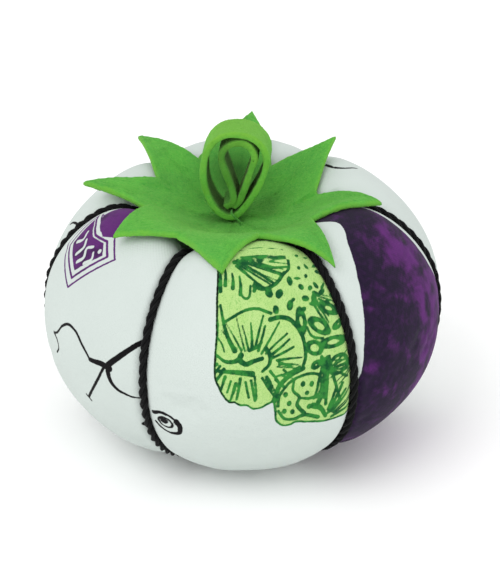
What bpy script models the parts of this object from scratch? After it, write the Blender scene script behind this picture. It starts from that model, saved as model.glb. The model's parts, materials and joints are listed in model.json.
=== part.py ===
"""A tomato-shaped pin cushion with a felt calyx and a felt stem.

Six curved cotton gores are sewn edge to edge around one lump of filling. Six cords run down the seams,
dive into the dimples at both ends and come back up through the core, which pulls the ball into lobes.
A star of felt sits in the top dimple, and a felt loop with a folded strip inside stands on it as a stem.
One thread sews the stem and the calyx down through the core, and the stem sways on the stretch of it
inside its base.

+Z is up, the front looks along -Y, and the origin is on the resting plane below the ball's axis.
An azimuth is in degrees, counted from the front (-Y) towards +X. Lengths are in metres.
"""

import math

import bmesh
import bpy
from mathutils import Vector

# The ball. Heights of its profile are counted from its widest level.
BALL_RADIUS = 0.040
CROWN_HEIGHT = 0.03175
KEEL_HEIGHT = 0.0305
# Powers of the cosine and the sine of the latitude: over 1 gives a slack curve, under 1 a full one.
UPPER_RADIUS_POWER = 1.10
LOWER_RADIUS_POWER = 0.92
LOWER_HEIGHT_POWER = 0.88
TOP_DIMPLE_DEPTH = 0.01525
TOP_DIMPLE_WIDTH = 0.0185
TOP_DIMPLE_POWER = 3
UNDER_DIMPLE_DEPTH = 0.0050
UNDER_DIMPLE_WIDTH = 0.0120
UNDER_DIMPLE_POWER = 2
FOOT_FLATTENING = 0.0008

# The seams between the gores, set by hand and so a little uneven.
SEAM_AZIMUTHS = (-92.0, -30.0, 32.5, 86.0, 146.0, 216.0)
SEAM_DEPTH_AT_WAIST = 0.0015
SEAM_DEPTH_AT_TOP = 0.0055
SEAM_DEPTH_AT_FOOT = 0.0042
SEAM_FADE_RADIUS = 0.007
SEAM_DEPTH_RISE = 3.0
LOBE_FULLNESS = 3.2
# How far each lobe swells beyond the ball, or falls short of it, halfway between its seams.
LOBE_SWELLS = (0.0, 0.0007, 0.0, 0.0, 0.0008, -0.0004)

# The cover.
CLOTH = 0.0004
CLEARANCE = 0.0003
FILLING_CLEARANCE = 0.0005
SEAM_HALF_GAP = 0.00075
ALLOWANCE = 0.0040
ALLOWANCE_AT_POLES = 0.0010
GORE_END_RADIUS = 0.0060
GORE_ROWS = 20
GORE_COLUMNS = 8
STITCH_SHARE = 0.5
SEAM_THREAD_RADIUS = 0.0002
SEAM_THREAD_ROWS = 17

# The filling.
BORE_RADIUS = 0.00375
BORE_ROUNDING = 0.0008
FILLING_ROWS = 20
FILLING_COLUMNS = 8

# The cords.
CORD_RADIUS = 0.00085
CORD_LIFT_AT_WAIST = 0.0014
CORD_LIFT_AT_POLES = 0.0021
CORD_ROWS = 19
CORE_RADIUS = 0.0025
CORE_ENTRY_RADIUS = 0.0052
CORE_TURN_DROP = 0.0034
CORE_TURN_STEPS = 3
CORD_TURN_RADIUS = 0.0072

# The calyx.
CALYX_CENTRE_X = -0.0016
CALYX_THICKNESS = 0.0014
CALYX_SEAT = 0.0006
CALYX_FLAT_RADIUS = 0.0045
CALYX_RINGS = 8
POINT_SIDE_STEPS = 3
# The star is cut by hand. For each point: angle from +X, radius, and how far it curls up off the ball.
# For the valley that follows it: angle and radius.
POINT_ANGLES = (38.0, 83.0, 128.0, 173.0, 218.0, 266.0, 307.0, 351.0)
POINT_RADII = (0.0272, 0.0310, 0.0306, 0.0296, 0.0291, 0.0299, 0.0324, 0.0299)
POINT_CURLS = (0.0035, 0.0067, 0.0052, 0.0048, 0.0030, 0.0002, 0.0, 0.0)
VALLEY_ANGLES = (60.5, 106.0, 150.5, 195.5, 242.0, 285.0, 324.0, 371.0)
VALLEY_RADII = (0.0168, 0.0175, 0.0172, 0.0188, 0.0205, 0.0203, 0.0193, 0.0172)
CURL_START_RADIUS = 0.0165
CURL_POWER = 1.5
THREAD_HOLE_RADIUS = 0.0007

# The stem: an egg-shaped loop of felt strip, and a folded strip inside it. Heights are from its foot.
FELT = 0.0013
STRIP_WIDTH = 0.0066
STEM_HEIGHT = 0.0193
PIVOT_HEIGHT = 0.00195
LEFT_BULGE = 0.0061
LEFT_TAPER = 0.05
RIGHT_BULGE = 0.0071
RIGHT_TAPER = 0.42
OUTER_LOOP_STEPS = 36
INNER_FOOT = (-0.0001, 0.0028)
INNER_NECK = (0.00115, 0.0049)
INNER_HEAD = (0.00145, 0.0135)
INNER_HALF_SPREAD = 0.00075
INNER_HEAD_RADIUS = 0.00325
INNER_HEAD_STEPS = 16

# The thread that holds the stem and calyx, and its knot.
TIE_RADIUS = 0.00025
TIE_HOLE_Y = 0.0042
TIE_ABOVE_CALYX = 0.0006
TIE_BELOW_CALYX = 0.0006
TIE_DROP_TO_CORE = 0.0011
TIE_CORE_SPREAD = 0.0005
TIE_END_Z = 0.0007
KNOT_RADIUS = 0.0016
KNOT_TUBE_RADIUS = 0.0007
KNOT_Z = 0.0018
KNOT_STEPS = 16

SHARP_ANGLE = math.radians(40)
LATITUDE_STEP = 1e-4
PROFILE_STEPS = 400
THREAD_BEVEL_RESOLUTION = 1


def clear_scene():
    for item in list(bpy.data.objects):
        bpy.data.objects.remove(item, do_unlink=True)


def make_material(name, colour, roughness):
    material = bpy.data.materials.new(name)
    material.use_nodes = True
    shader = material.node_tree.nodes["Principled BSDF"]
    shader.inputs["Base Color"].default_value = (*colour, 1.0)
    shader.inputs["Roughness"].default_value = roughness
    shader.inputs["Metallic"].default_value = 0.0
    material.diffuse_color = (*colour, 1.0)
    return material


# The ball's shape.


def raw_profile(latitude):
    """Radius and height of a lobe's crown line, before the foot is flattened. Latitude is in radians."""
    if latitude > 0:
        radius = BALL_RADIUS * math.cos(latitude) ** UPPER_RADIUS_POWER
        height = CROWN_HEIGHT * math.sin(latitude)
        height -= dimple(radius, TOP_DIMPLE_DEPTH, TOP_DIMPLE_WIDTH, TOP_DIMPLE_POWER)
    else:
        radius = BALL_RADIUS * math.cos(latitude) ** LOWER_RADIUS_POWER
        height = -KEEL_HEIGHT * abs(math.sin(latitude)) ** LOWER_HEIGHT_POWER
        height += dimple(radius, UNDER_DIMPLE_DEPTH, UNDER_DIMPLE_WIDTH, UNDER_DIMPLE_POWER)
    return radius, height


def dimple(radius, depth, width, power):
    return depth * math.exp(-((radius / width) ** power))


def lowest_height():
    latitudes_below = (-0.5 * math.pi * step / PROFILE_STEPS for step in range(PROFILE_STEPS))
    return min(raw_profile(latitude)[1] for latitude in latitudes_below)


FOOT_HEIGHT = lowest_height() + FOOT_FLATTENING
WAIST_Z = CLOTH / 2 - FOOT_HEIGHT


def profile_normal(latitude):
    """Outward unit normal (radial, upward) of the crown line."""
    before = raw_profile(latitude - LATITUDE_STEP)
    after = raw_profile(latitude + LATITUDE_STEP)
    tangent = Vector((after[0] - before[0], after[1] - before[1])).normalized()
    return Vector((tangent.y, -tangent.x))


def seam_depth(latitude):
    """How far a seam lies below the crown line. It fades out at the poles, where all lobes meet."""
    rise = abs(math.sin(latitude)) ** SEAM_DEPTH_RISE
    depth_at_end = SEAM_DEPTH_AT_TOP if latitude > 0 else SEAM_DEPTH_AT_FOOT
    depth = SEAM_DEPTH_AT_WAIST + (depth_at_end - SEAM_DEPTH_AT_WAIST) * rise
    radius, _ = raw_profile(latitude)
    return depth * (1.0 - math.exp(-((radius / SEAM_FADE_RADIUS) ** 2)))


def section_point(latitude, inset):
    """(radius, height) of a point that lies inset below the crown line, along its normal."""
    radius, height = raw_profile(latitude)
    normal = profile_normal(latitude)
    return radius - inset * normal.x, height - inset * normal.y


def lobe_point(index, latitude, azimuth, share, inset=0.0):
    """A point on the cover. Share runs from 0 at one edge of the gore to 1 at the other."""
    crease = abs(2 * share - 1) ** LOBE_FULLNESS
    swell = LOBE_SWELLS[index] * (1 - crease) * math.cos(latitude) ** 2
    radius, height = section_point(latitude, seam_depth(latitude) * crease - swell + inset)
    height = max(height, FOOT_HEIGHT + inset)
    return polar_point(radius, azimuth, height + WAIST_Z)


def polar_point(radius, azimuth, z):
    angle = math.radians(azimuth)
    return Vector((radius * math.sin(angle), -radius * math.cos(angle), z))


def latitudes(end_radius, count):
    """Latitudes from the lower end of a gore to its upper end, evenly spread along the crown line."""
    lowest = -math.acos((end_radius / BALL_RADIUS) ** (1 / LOWER_RADIUS_POWER))
    highest = upper_latitude(end_radius)
    fine = PROFILE_STEPS
    angles = [lowest + (highest - lowest) * step / fine for step in range(fine + 1)]
    travelled = [0.0]
    for low, high in zip(angles, angles[1:]):
        travelled.append(travelled[-1] + math.dist(raw_profile(low), raw_profile(high)))
    result = []
    position = 0
    for step in range(count):
        target = travelled[-1] * step / (count - 1)
        while travelled[position + 1] < target and position < fine - 1:
            position += 1
        share = (target - travelled[position]) / (travelled[position + 1] - travelled[position])
        result.append(angles[position] + share * (angles[position + 1] - angles[position]))
    return result


def gore_azimuths(index, radius, half_gap):
    """Where a gore's two edges lie at a radius, each half a gap away from its seam."""
    start = SEAM_AZIMUTHS[index]
    end = SEAM_AZIMUTHS[(index + 1) % len(SEAM_AZIMUTHS)]
    if end < start:
        end += 360.0
    edge = math.degrees(math.asin(half_gap / radius))
    return start + edge, end - edge


def allowance_width(latitude):
    taper = abs(math.sin(latitude)) ** SEAM_DEPTH_RISE
    return ALLOWANCE + (ALLOWANCE_AT_POLES - ALLOWANCE) * taper


def crown_height(radius):
    """Height of the crown line of the upper half at a radius."""
    return raw_profile(upper_latitude(radius))[1]


def upper_latitude(radius):
    return math.acos(min(radius / BALL_RADIUS, 1.0) ** (1 / UPPER_RADIUS_POWER))


# Mesh helpers.


def link(name, data, material):
    item = bpy.data.objects.new(name, data)
    item.data.materials.append(material)
    bpy.context.scene.collection.objects.link(item)
    return item


def mesh_from_rows(name, rows, material, close_rows=False, close_columns=False):
    """A mesh of quads over rows of points, closed round on itself where asked."""
    mesh_builder = bmesh.new()
    vertices = [[mesh_builder.verts.new(point) for point in row] for row in rows]
    row_pairs = len(rows) if close_rows else len(rows) - 1
    width = len(rows[0])
    column_pairs = width if close_columns else width - 1
    for row in range(row_pairs):
        here = vertices[row]
        there = vertices[(row + 1) % len(rows)]
        for column in range(column_pairs):
            after = (column + 1) % width
            mesh_builder.faces.new((here[column], here[after], there[after], there[column]))
    bmesh.ops.recalc_face_normals(mesh_builder, faces=mesh_builder.faces)
    mesh = bpy.data.meshes.new(name)
    mesh_builder.to_mesh(mesh)
    mesh_builder.free()
    mesh.shade_smooth()
    mesh.set_sharp_from_angle(angle=SHARP_ANGLE)
    return link(name, mesh, material)


def thread_from_path(name, path, radius, material, cyclic):
    """A round thread along a path of points."""
    curve = bpy.data.curves.new(name, "CURVE")
    curve.dimensions = "3D"
    curve.twist_mode = "MINIMUM"
    curve.bevel_depth = radius
    curve.bevel_resolution = THREAD_BEVEL_RESOLUTION
    curve.use_fill_caps = not cyclic
    spline = curve.splines.new("POLY")
    spline.points.add(len(path) - 1)
    for target, point in zip(spline.points, path):
        target.co = (*point, 1.0)
    spline.use_cyclic_u = cyclic
    return link(name, curve, material)


def arc(centre, radius, start, end, steps):
    """Points (x, z) on an arc, angles in degrees from +X towards +Z."""
    points = []
    for step in range(steps + 1):
        angle = math.radians(start + (end - start) * step / steps)
        points.append((centre[0] + radius * math.cos(angle), centre[1] + radius * math.sin(angle)))
    return points


# The cushion.


def make_gore(index, material):
    """One cotton gore, with its seam allowances turned in towards the filling."""
    rows = []
    for latitude in latitudes(GORE_END_RADIUS, GORE_ROWS):
        radius, _ = section_point(latitude, seam_depth(latitude))
        start, end = gore_azimuths(index, radius, SEAM_HALF_GAP)
        row = [allowance_point(latitude, index, 0)]
        for column in range(GORE_COLUMNS + 1):
            share = column / GORE_COLUMNS
            row.append(lobe_point(index, latitude, start + (end - start) * share, share))
        row.append(allowance_point(latitude, index, 1))
        rows.append(row)
    gore = mesh_from_rows(f"cover_gore_{index + 1}", rows, material)
    shell = gore.modifiers.new("cloth", "SOLIDIFY")
    shell.thickness = CLOTH
    shell.offset = 0.0
    shell.use_even_offset = True
    return gore


def allowance_point(latitude, index, side):
    """The inner edge of a seam allowance, which runs straight in beside the seam."""
    turned = allowance_width(latitude)
    radius, height = section_point(latitude, seam_depth(latitude) + turned)
    height = max(height, FOOT_HEIGHT + turned)
    azimuth = gore_azimuths(index, radius, SEAM_HALF_GAP)[side]
    return polar_point(radius, azimuth, height + WAIST_Z)


def make_seam_thread(index, material):
    """The machine stitching between two allowances."""
    path = []
    for latitude in latitudes(GORE_END_RADIUS, SEAM_THREAD_ROWS):
        inset = seam_depth(latitude) + STITCH_SHARE * allowance_width(latitude)
        radius, height = section_point(latitude, inset)
        path.append(polar_point(radius, SEAM_AZIMUTHS[index], height + WAIST_Z))
    name = f"seam_thread_{index + 1}"
    return thread_from_path(name, path, SEAM_THREAD_RADIUS, material, cyclic=False)


def filling_ring(latitude):
    """One closed ring of the filling's surface, slotted where the seam allowances stand in it."""
    slot = SEAM_HALF_GAP + CLOTH / 2 + FILLING_CLEARANCE
    floor = seam_depth(latitude) + allowance_width(latitude) + CLOTH + 2 * FILLING_CLEARANCE
    floor_radius, floor_height = section_point(latitude, floor)
    floor_height = max(floor_height, FOOT_HEIGHT + floor)
    radius, _ = section_point(latitude, seam_depth(latitude))
    ring = []
    for index in range(len(SEAM_AZIMUTHS)):
        start, end = gore_azimuths(index, radius, slot)
        cover_start, cover_end = gore_azimuths(index, radius, SEAM_HALF_GAP)
        floor_start, floor_end = gore_azimuths(index, floor_radius, slot)
        ring.append(polar_point(floor_radius, floor_start, floor_height + WAIST_Z))
        for column in range(FILLING_COLUMNS + 1):
            azimuth = start + (end - start) * column / FILLING_COLUMNS
            share = (azimuth - cover_start) / (cover_end - cover_start)
            ring.append(lobe_point(index, latitude, azimuth, share, CLOTH + FILLING_CLEARANCE))
        ring.append(polar_point(floor_radius, floor_end, floor_height + WAIST_Z))
    return ring


def bore_ring(like, radius, z):
    """A ring on the bore's wall, at the same azimuths as the points of another ring."""
    ring = []
    for point in like:
        flat = Vector((point.x, point.y, 0)).normalized()
        ring.append(Vector((flat.x * radius, flat.y * radius, z)))
    return ring


def make_filling(material):
    """The stuffing, one lump with a bore for the cords and the tie."""
    rings = [filling_ring(latitude) for latitude in latitudes(GORE_END_RADIUS, FILLING_ROWS)]
    high = min(point.z for point in rings[-1])
    low = max(point.z for point in rings[0])
    mouth = BORE_RADIUS + BORE_ROUNDING
    rings.append(bore_ring(rings[-1], mouth, high - BORE_ROUNDING))
    rings.append(bore_ring(rings[-1], BORE_RADIUS, high - 2 * BORE_ROUNDING))
    rings.append(bore_ring(rings[0], BORE_RADIUS, low + 2 * BORE_ROUNDING))
    rings.append(bore_ring(rings[0], mouth, low + BORE_ROUNDING))
    return mesh_from_rows("filling", rings, material, close_rows=True, close_columns=True)


def cord_section():
    """(radius, height) along one cord: up its seam, over the rim, and down through the core."""
    points = []
    for latitude in latitudes(CORD_TURN_RADIUS, CORD_ROWS):
        rise = abs(math.sin(latitude)) ** SEAM_DEPTH_RISE
        lift = CORD_LIFT_AT_WAIST + (CORD_LIFT_AT_POLES - CORD_LIFT_AT_WAIST) * rise
        points.append(section_point(latitude, seam_depth(latitude) - lift))
    upper_turn = core_turn(points[-1][1], -1)
    lower_turn = core_turn(points[0][1], 1)
    return points + upper_turn + lower_turn[::-1]


def core_turn(height, direction):
    """A quarter of an ellipse that brings a cord from over the dimple into line with the core."""
    reach = CORE_ENTRY_RADIUS - CORE_RADIUS
    points = []
    for step in range(CORE_TURN_STEPS + 1):
        angle = 0.5 * math.pi * step / CORE_TURN_STEPS
        radius = CORE_RADIUS + reach * (1 - math.sin(angle))
        points.append((radius, height + direction * CORE_TURN_DROP * (1 - math.cos(angle))))
    return points


def make_cord(index, material):
    path = [
        polar_point(radius, SEAM_AZIMUTHS[index], height + WAIST_Z)
        for radius, height in cord_section()
    ]
    return thread_from_path(f"segment_cord_{index + 1}", path, CORD_RADIUS, material, cyclic=True)


# The felt.


def calyx_height(x, y, curl):
    """Height of the middle of the felt above the widest level."""
    rest = CLOTH / 2 + CALYX_SEAT + CALYX_THICKNESS / 2
    radius = max(math.hypot(x, y), CALYX_FLAT_RADIUS)
    return crown_height(radius) + rest + curl


def flat_point(angle, radius):
    turn = math.radians(angle)
    return Vector((radius * math.cos(turn), radius * math.sin(turn)))


def calyx_outline():
    """(flat point from the star's centre, point index) round the star, each from the valley before it."""
    outline = []
    for index in range(len(POINT_ANGLES)):
        before = flat_point(VALLEY_ANGLES[index - 1], VALLEY_RADII[index - 1])
        tip = flat_point(POINT_ANGLES[index], POINT_RADII[index])
        after = flat_point(VALLEY_ANGLES[index], VALLEY_RADII[index])
        for step in range(POINT_SIDE_STEPS):
            outline.append((before.lerp(tip, step / POINT_SIDE_STEPS), index))
        for step in range(POINT_SIDE_STEPS):
            outline.append((tip.lerp(after, step / POINT_SIDE_STEPS), index))
    return outline


def calyx_point_at(x, y, curl=0.0):
    return Vector((x, y, calyx_height(x, y, curl) + WAIST_Z))


def calyx_point(flat, index):
    past = max(0.0, flat.length - CURL_START_RADIUS)
    reach = past / (POINT_RADII[index] - CURL_START_RADIUS)
    return calyx_point_at(CALYX_CENTRE_X + flat.x, flat.y, POINT_CURLS[index] * reach**CURL_POWER)


def make_calyx(material, cutters):
    """The eight-pointed felt star, dished to lie in the top dimple."""
    outline = calyx_outline()
    mesh_builder = bmesh.new()
    centre = mesh_builder.verts.new(calyx_point_at(CALYX_CENTRE_X, 0.0))
    previous = None
    for ring in range(1, CALYX_RINGS + 1):
        share = ring / CALYX_RINGS
        current = [
            mesh_builder.verts.new(calyx_point(corner * share, index))
            for corner, index in outline
        ]
        for column in range(len(current)):
            after = (column + 1) % len(current)
            if previous is None:
                mesh_builder.faces.new((centre, current[column], current[after]))
            else:
                corners = (previous[column], current[column], current[after], previous[after])
                mesh_builder.faces.new(corners)
        previous = current
    mesh = bpy.data.meshes.new("felt_calyx")
    mesh_builder.to_mesh(mesh)
    mesh_builder.free()
    mesh.shade_smooth()
    calyx = link("felt_calyx", mesh, material)
    shell = calyx.modifiers.new("felt", "SOLIDIFY")
    shell.thickness = CALYX_THICKNESS
    shell.offset = 0.0
    for cutter in cutters:
        cut = calyx.modifiers.new("thread hole", "BOOLEAN")
        cut.operation = "DIFFERENCE"
        cut.solver = "EXACT"
        cut.object = cutter
    return calyx


def make_hole_cutter(name, y, z):
    """A short upright peg that pierces the calyx where the tie goes through."""
    mesh_builder = bmesh.new()
    bmesh.ops.create_cone(
        mesh_builder,
        cap_ends=True,
        segments=8,
        radius1=THREAD_HOLE_RADIUS,
        radius2=THREAD_HOLE_RADIUS,
        depth=4 * CALYX_THICKNESS,
    )
    mesh = bpy.data.meshes.new(name)
    mesh_builder.to_mesh(mesh)
    mesh_builder.free()
    cutter = bpy.data.objects.new(name, mesh)
    cutter.location = (0, y, z)
    cutter.hide_render = True
    cutter.display_type = "WIRE"
    bpy.context.scene.collection.objects.link(cutter)
    return cutter


def stem_pivot_z():
    """The stem's foot clears the calyx by the clearance, and its pivot is a little above its foot."""
    felt_top = calyx_point_at(CALYX_CENTRE_X, 0.0).z + CALYX_THICKNESS / 2
    return felt_top + CLEARANCE + PIVOT_HEIGHT


def outer_loop_path():
    """Points (x, z) round the middle of the outer strip, from its foot round by +X."""
    outline = []
    for step in range(OUTER_LOOP_STEPS):
        turn = 2 * math.pi * step / OUTER_LOOP_STEPS
        bulge, taper = (RIGHT_BULGE, RIGHT_TAPER) if turn < math.pi else (LEFT_BULGE, LEFT_TAPER)
        x = bulge * math.sin(turn) * (1 - taper * math.cos(turn))
        outline.append(Vector((x, 0.5 * STEM_HEIGHT * (1 - math.cos(turn)))))
    sides = path_sides(outline, True)
    return [point - side * FELT / 2 for point, side in zip(outline, sides)]


def inner_strip_path():
    """Points (x, z) along the middle of the folded strip: up from its foot, round its head, and down."""
    run = INNER_HEAD[1] - INNER_NECK[1]
    slope = math.degrees(math.asin((INNER_HEAD_RADIUS - INNER_HALF_SPREAD) / run))
    head = arc(INNER_HEAD, INNER_HEAD_RADIUS, -slope, 180.0 + slope, INNER_HEAD_STEPS)
    right = [(x + INNER_HALF_SPREAD, z) for x, z in (INNER_FOOT, INNER_NECK)]
    left = [(x - INNER_HALF_SPREAD, z) for x, z in (INNER_NECK, INNER_FOOT)]
    return [Vector(point) for point in right + head + left]


def path_sides(path, cyclic):
    """Unit vectors to the right of a path of (x, z) points, at each of them."""
    sides = []
    for index, point in enumerate(path):
        if cyclic:
            before, after = path[index - 1], path[(index + 1) % len(path)]
        else:
            before, after = path[max(index - 1, 0)], path[min(index + 1, len(path) - 1)]
        ahead = (after - before).normalized()
        sides.append(Vector((ahead.y, -ahead.x)))
    return sides


def make_strip(name, path, cyclic, pivot, material):
    """A felt strip bent along a path of (x, z) points, its width along Y."""
    reach = STRIP_WIDTH / 2
    corners = ((-reach, 1), (reach, 1), (reach, -1), (-reach, -1))
    mesh_builder = bmesh.new()
    rings = []
    for point, side in zip(path, path_sides(path, cyclic)):
        ring = []
        for y, face in corners:
            flat = point + side * face * FELT / 2
            ring.append(mesh_builder.verts.new((flat.x, y, flat.y - PIVOT_HEIGHT)))
        rings.append(ring)
    pairs = list(zip(rings, rings[1:]))
    if cyclic:
        pairs.append((rings[-1], rings[0]))
    else:
        mesh_builder.faces.new(rings[0])
        mesh_builder.faces.new(rings[-1])
    for here, there in pairs:
        for column in range(len(corners)):
            after = (column + 1) % len(corners)
            mesh_builder.faces.new((here[column], here[after], there[after], there[column]))
    bmesh.ops.recalc_face_normals(mesh_builder, faces=mesh_builder.faces)
    mesh = bpy.data.meshes.new(name)
    mesh_builder.to_mesh(mesh)
    mesh_builder.free()
    mesh.shade_smooth()
    mesh.set_sharp_from_angle(angle=SHARP_ANGLE)
    strip = link(name, mesh, material)
    strip.parent = pivot
    return strip


def make_stem_pivot():
    pivot = bpy.data.objects.new("stem_pivot", None)
    pivot.location = (CALYX_CENTRE_X, 0, stem_pivot_z())
    bpy.context.scene.collection.objects.link(pivot)
    return pivot


# The tie.


def make_tie(material):
    """The thread along the stem's pivot line, through the calyx, down the core and back."""
    pivot_z = stem_pivot_z()
    felt_z = calyx_point_at(0.0, TIE_HOLE_Y).z
    above = felt_z + CALYX_THICKNESS / 2 + TIE_ABOVE_CALYX
    below = felt_z - CALYX_THICKNESS / 2 - TIE_BELOW_CALYX
    half = [
        (CALYX_CENTRE_X, TIE_HOLE_Y - TIE_RADIUS, pivot_z),
        (CALYX_CENTRE_X, TIE_HOLE_Y, pivot_z - TIE_RADIUS),
        (0.0, TIE_HOLE_Y, above),
        (0.0, TIE_HOLE_Y, below + TIE_RADIUS),
        (0.0, TIE_HOLE_Y - TIE_RADIUS, below),
        (0.0, 2 * TIE_CORE_SPREAD, below - TIE_DROP_TO_CORE / 2),
        (0.0, TIE_CORE_SPREAD, below - TIE_DROP_TO_CORE),
        (0.0, TIE_CORE_SPREAD, TIE_END_Z),
    ]
    other = [(px, -py, pz) for px, py, pz in reversed(half)]
    return thread_from_path("centre_tie_thread", half + other, TIE_RADIUS, material, cyclic=True)


def make_knot(material):
    """The knot round both strands of the tie, in the lower dimple."""
    turns = (360.0 * step / KNOT_STEPS for step in range(KNOT_STEPS))
    path = [polar_point(KNOT_RADIUS, azimuth, KNOT_Z) for azimuth in turns]
    return thread_from_path("closing_knot", path, KNOT_TUBE_RADIUS, material, cyclic=True)


def build():
    clear_scene()
    cotton = make_material("cotton print", (0.68, 0.72, 0.71), 0.85)
    stuffing = make_material("stuffing", (0.80, 0.79, 0.75), 0.95)
    cord = make_material("black cord", (0.014, 0.016, 0.016), 0.75)
    thread = make_material("white thread", (0.70, 0.70, 0.68), 0.70)
    felt = make_material("green felt", (0.10, 0.42, 0.04), 0.95)
    green_thread = make_material("green thread", (0.08, 0.32, 0.04), 0.70)
    for index in range(len(SEAM_AZIMUTHS)):
        make_gore(index, cotton)
        make_seam_thread(index, thread)
        make_cord(index, cord)
    make_filling(stuffing)
    hole_z = calyx_point_at(0.0, TIE_HOLE_Y).z
    cutters = [
        make_hole_cutter("back_hole_cutter", TIE_HOLE_Y, hole_z),
        make_hole_cutter("front_hole_cutter", -TIE_HOLE_Y, hole_z),
    ]
    make_calyx(felt, cutters)
    pivot = make_stem_pivot()
    make_strip("stem_outer_loop", outer_loop_path(), True, pivot, felt)
    make_strip("stem_inner_loop", inner_strip_path(), False, pivot, felt)
    make_tie(green_thread)
    make_knot(green_thread)


build()
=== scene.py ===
"""The looks of a tomato-shaped pin cushion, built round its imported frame.

The cotton lobes are inflated by a cloth simulation, then refined, printed and given their seam
allowances. Cords and threads are twisted strands. The calyx and the stem are thick cut felt.

Lengths are in metres, angles in degrees where a name says azimuth or angle, otherwise in radians.
An azimuth is counted from the front (-Y) towards +X.
"""

import json
import math

import bmesh
import bpy
import numpy as np
from mathutils import Matrix, Vector
from mathutils.bvhtree import BVHTree


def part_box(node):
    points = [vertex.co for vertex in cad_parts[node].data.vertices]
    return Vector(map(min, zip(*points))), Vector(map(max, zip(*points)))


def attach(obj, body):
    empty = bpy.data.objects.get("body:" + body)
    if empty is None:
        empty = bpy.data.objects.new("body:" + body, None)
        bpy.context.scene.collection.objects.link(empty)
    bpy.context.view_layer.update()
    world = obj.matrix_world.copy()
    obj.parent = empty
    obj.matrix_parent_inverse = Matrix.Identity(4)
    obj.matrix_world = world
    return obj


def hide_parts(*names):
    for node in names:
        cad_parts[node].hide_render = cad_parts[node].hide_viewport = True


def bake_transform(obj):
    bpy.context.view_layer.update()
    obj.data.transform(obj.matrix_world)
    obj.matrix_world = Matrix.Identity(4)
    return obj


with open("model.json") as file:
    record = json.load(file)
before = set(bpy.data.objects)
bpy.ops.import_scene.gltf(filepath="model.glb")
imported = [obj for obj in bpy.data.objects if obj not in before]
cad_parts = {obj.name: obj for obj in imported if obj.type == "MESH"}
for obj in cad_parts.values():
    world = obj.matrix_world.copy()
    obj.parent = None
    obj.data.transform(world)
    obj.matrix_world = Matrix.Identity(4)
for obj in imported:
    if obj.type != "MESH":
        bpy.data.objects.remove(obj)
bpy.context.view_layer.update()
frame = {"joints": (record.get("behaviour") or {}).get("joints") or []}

MM = 0.001
LIGHT_LEVEL = 1.3
SPECULAR = 0.15
SEED = 11
GORES, CORDS, SEAM_THREADS = (
    [f"{piece}_{number}" for number in range(1, 7)] for piece in ("cover_gore", "segment_cord", "seam_thread")
)
FOOT_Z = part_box(GORES[1])[0].z

# The ball, as shares of its radius. They are the shares that the frame's cover is built with.
FRAME_CLOTH = 0.4 * MM
LOBE_BULGE = 0.75 * MM
BALL_RADIUS = round(0.5 * (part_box(GORES[4])[1].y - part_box(GORES[1])[0].y) - LOBE_BULGE, 3)
CROWN_HEIGHT, KEEL_HEIGHT = 0.79375 * BALL_RADIUS, 0.7625 * BALL_RADIUS
UPPER_RADIUS_POWER = 1.10
LOWER_RADIUS_POWER = 0.92
LOWER_HEIGHT_POWER = 0.88
# A dimple has a depth, a width and the power of its edge.
TOP_DIMPLE = 0.38125 * BALL_RADIUS, 0.4625 * BALL_RADIUS, 3
UNDER_DIMPLE = 0.125 * BALL_RADIUS, 0.3 * BALL_RADIUS, 2
FOOT_FLATTENING = 0.02 * BALL_RADIUS
SEAM_DEPTH_AT_WAIST = 0.0375 * BALL_RADIUS
SEAM_DEPTH_AT_TOP = 0.1375 * BALL_RADIUS
SEAM_DEPTH_AT_FOOT = 0.105 * BALL_RADIUS
SEAM_FADE_RADIUS = 0.175 * BALL_RADIUS
SEAM_DEPTH_RISE = 3.0
LOBE_FULLNESS = 3.2
LOBE_SWELLS = tuple(share * BALL_RADIUS for share in (0.0, 0.0175, 0.0, 0.0, 0.02, -0.01))
GORE_END_RADIUS = 0.15 * BALL_RADIUS

# The cover's mesh. A grid is a number of columns, of rows, and the spacing of the rows in the print.
CLOTH = 0.25 * MM
SEAM_HALF_GAP = 0.45 * MM
ALLOWANCE = 3.0 * MM
ALLOWANCE_COLUMNS = 4
SIM_ROWS = 66
SIM_COLUMNS = 24
SIM_INSET = 0.5 * MM
SIM_FRAMES = 20
SIM_BULGE = 0.4 * MM
PRINT_LOW = -38 * MM
PRINT_HIGH = 26 * MM
FINE_GORES = (0, 1, 2)
FINE_GRID = (180, 360, 0.215 * MM)
PLAIN_GRID = (100, 200, 0.42 * MM)
INNER_STEP = 10

# Cords and threads.
CORD_RADIUS = 0.86 * MM
CORD_SINK = 0.72 * MM
CORD_PITCH = 7.6 * MM
CORD_LUMPS = 0.08
CORD_ROUGHNESS = 0.03 * MM
CORD_TURN_RADIUS = 0.18 * BALL_RADIUS
CORE_RADIUS = 0.0625 * BALL_RADIUS
CORE_DROP = 0.085 * BALL_RADIUS
STRANDS = 3
THREAD_RADIUS, THREAD_PITCH = 0.2 * MM, 1.6 * MM
STITCH = 2.4 * MM
STITCH_SWAY = 0.2 * MM
TIE_RADIUS, TIE_PITCH = 0.25 * MM, 1.8 * MM
TIE_HOLE_Y = 4.2 * MM
KNOT_TUBE, KNOT_PITCH = 0.7 * MM, 3.0 * MM

# The stuffing.
STUFFING_ROWS = 150
STUFFING_COLUMNS = 40
STUFFING_INSET = 1.2 * MM
STUFFING_LUMPS = 0.3 * MM
SLOT_CLEARANCE = 1.2 * MM
SLOT_HALF_WIDTH = 1.7 * MM
BORE_ROWS = 40
BORE_RADIUS = 3.75 * MM
BORE_LUMPS = 0.15 * MM

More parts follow.
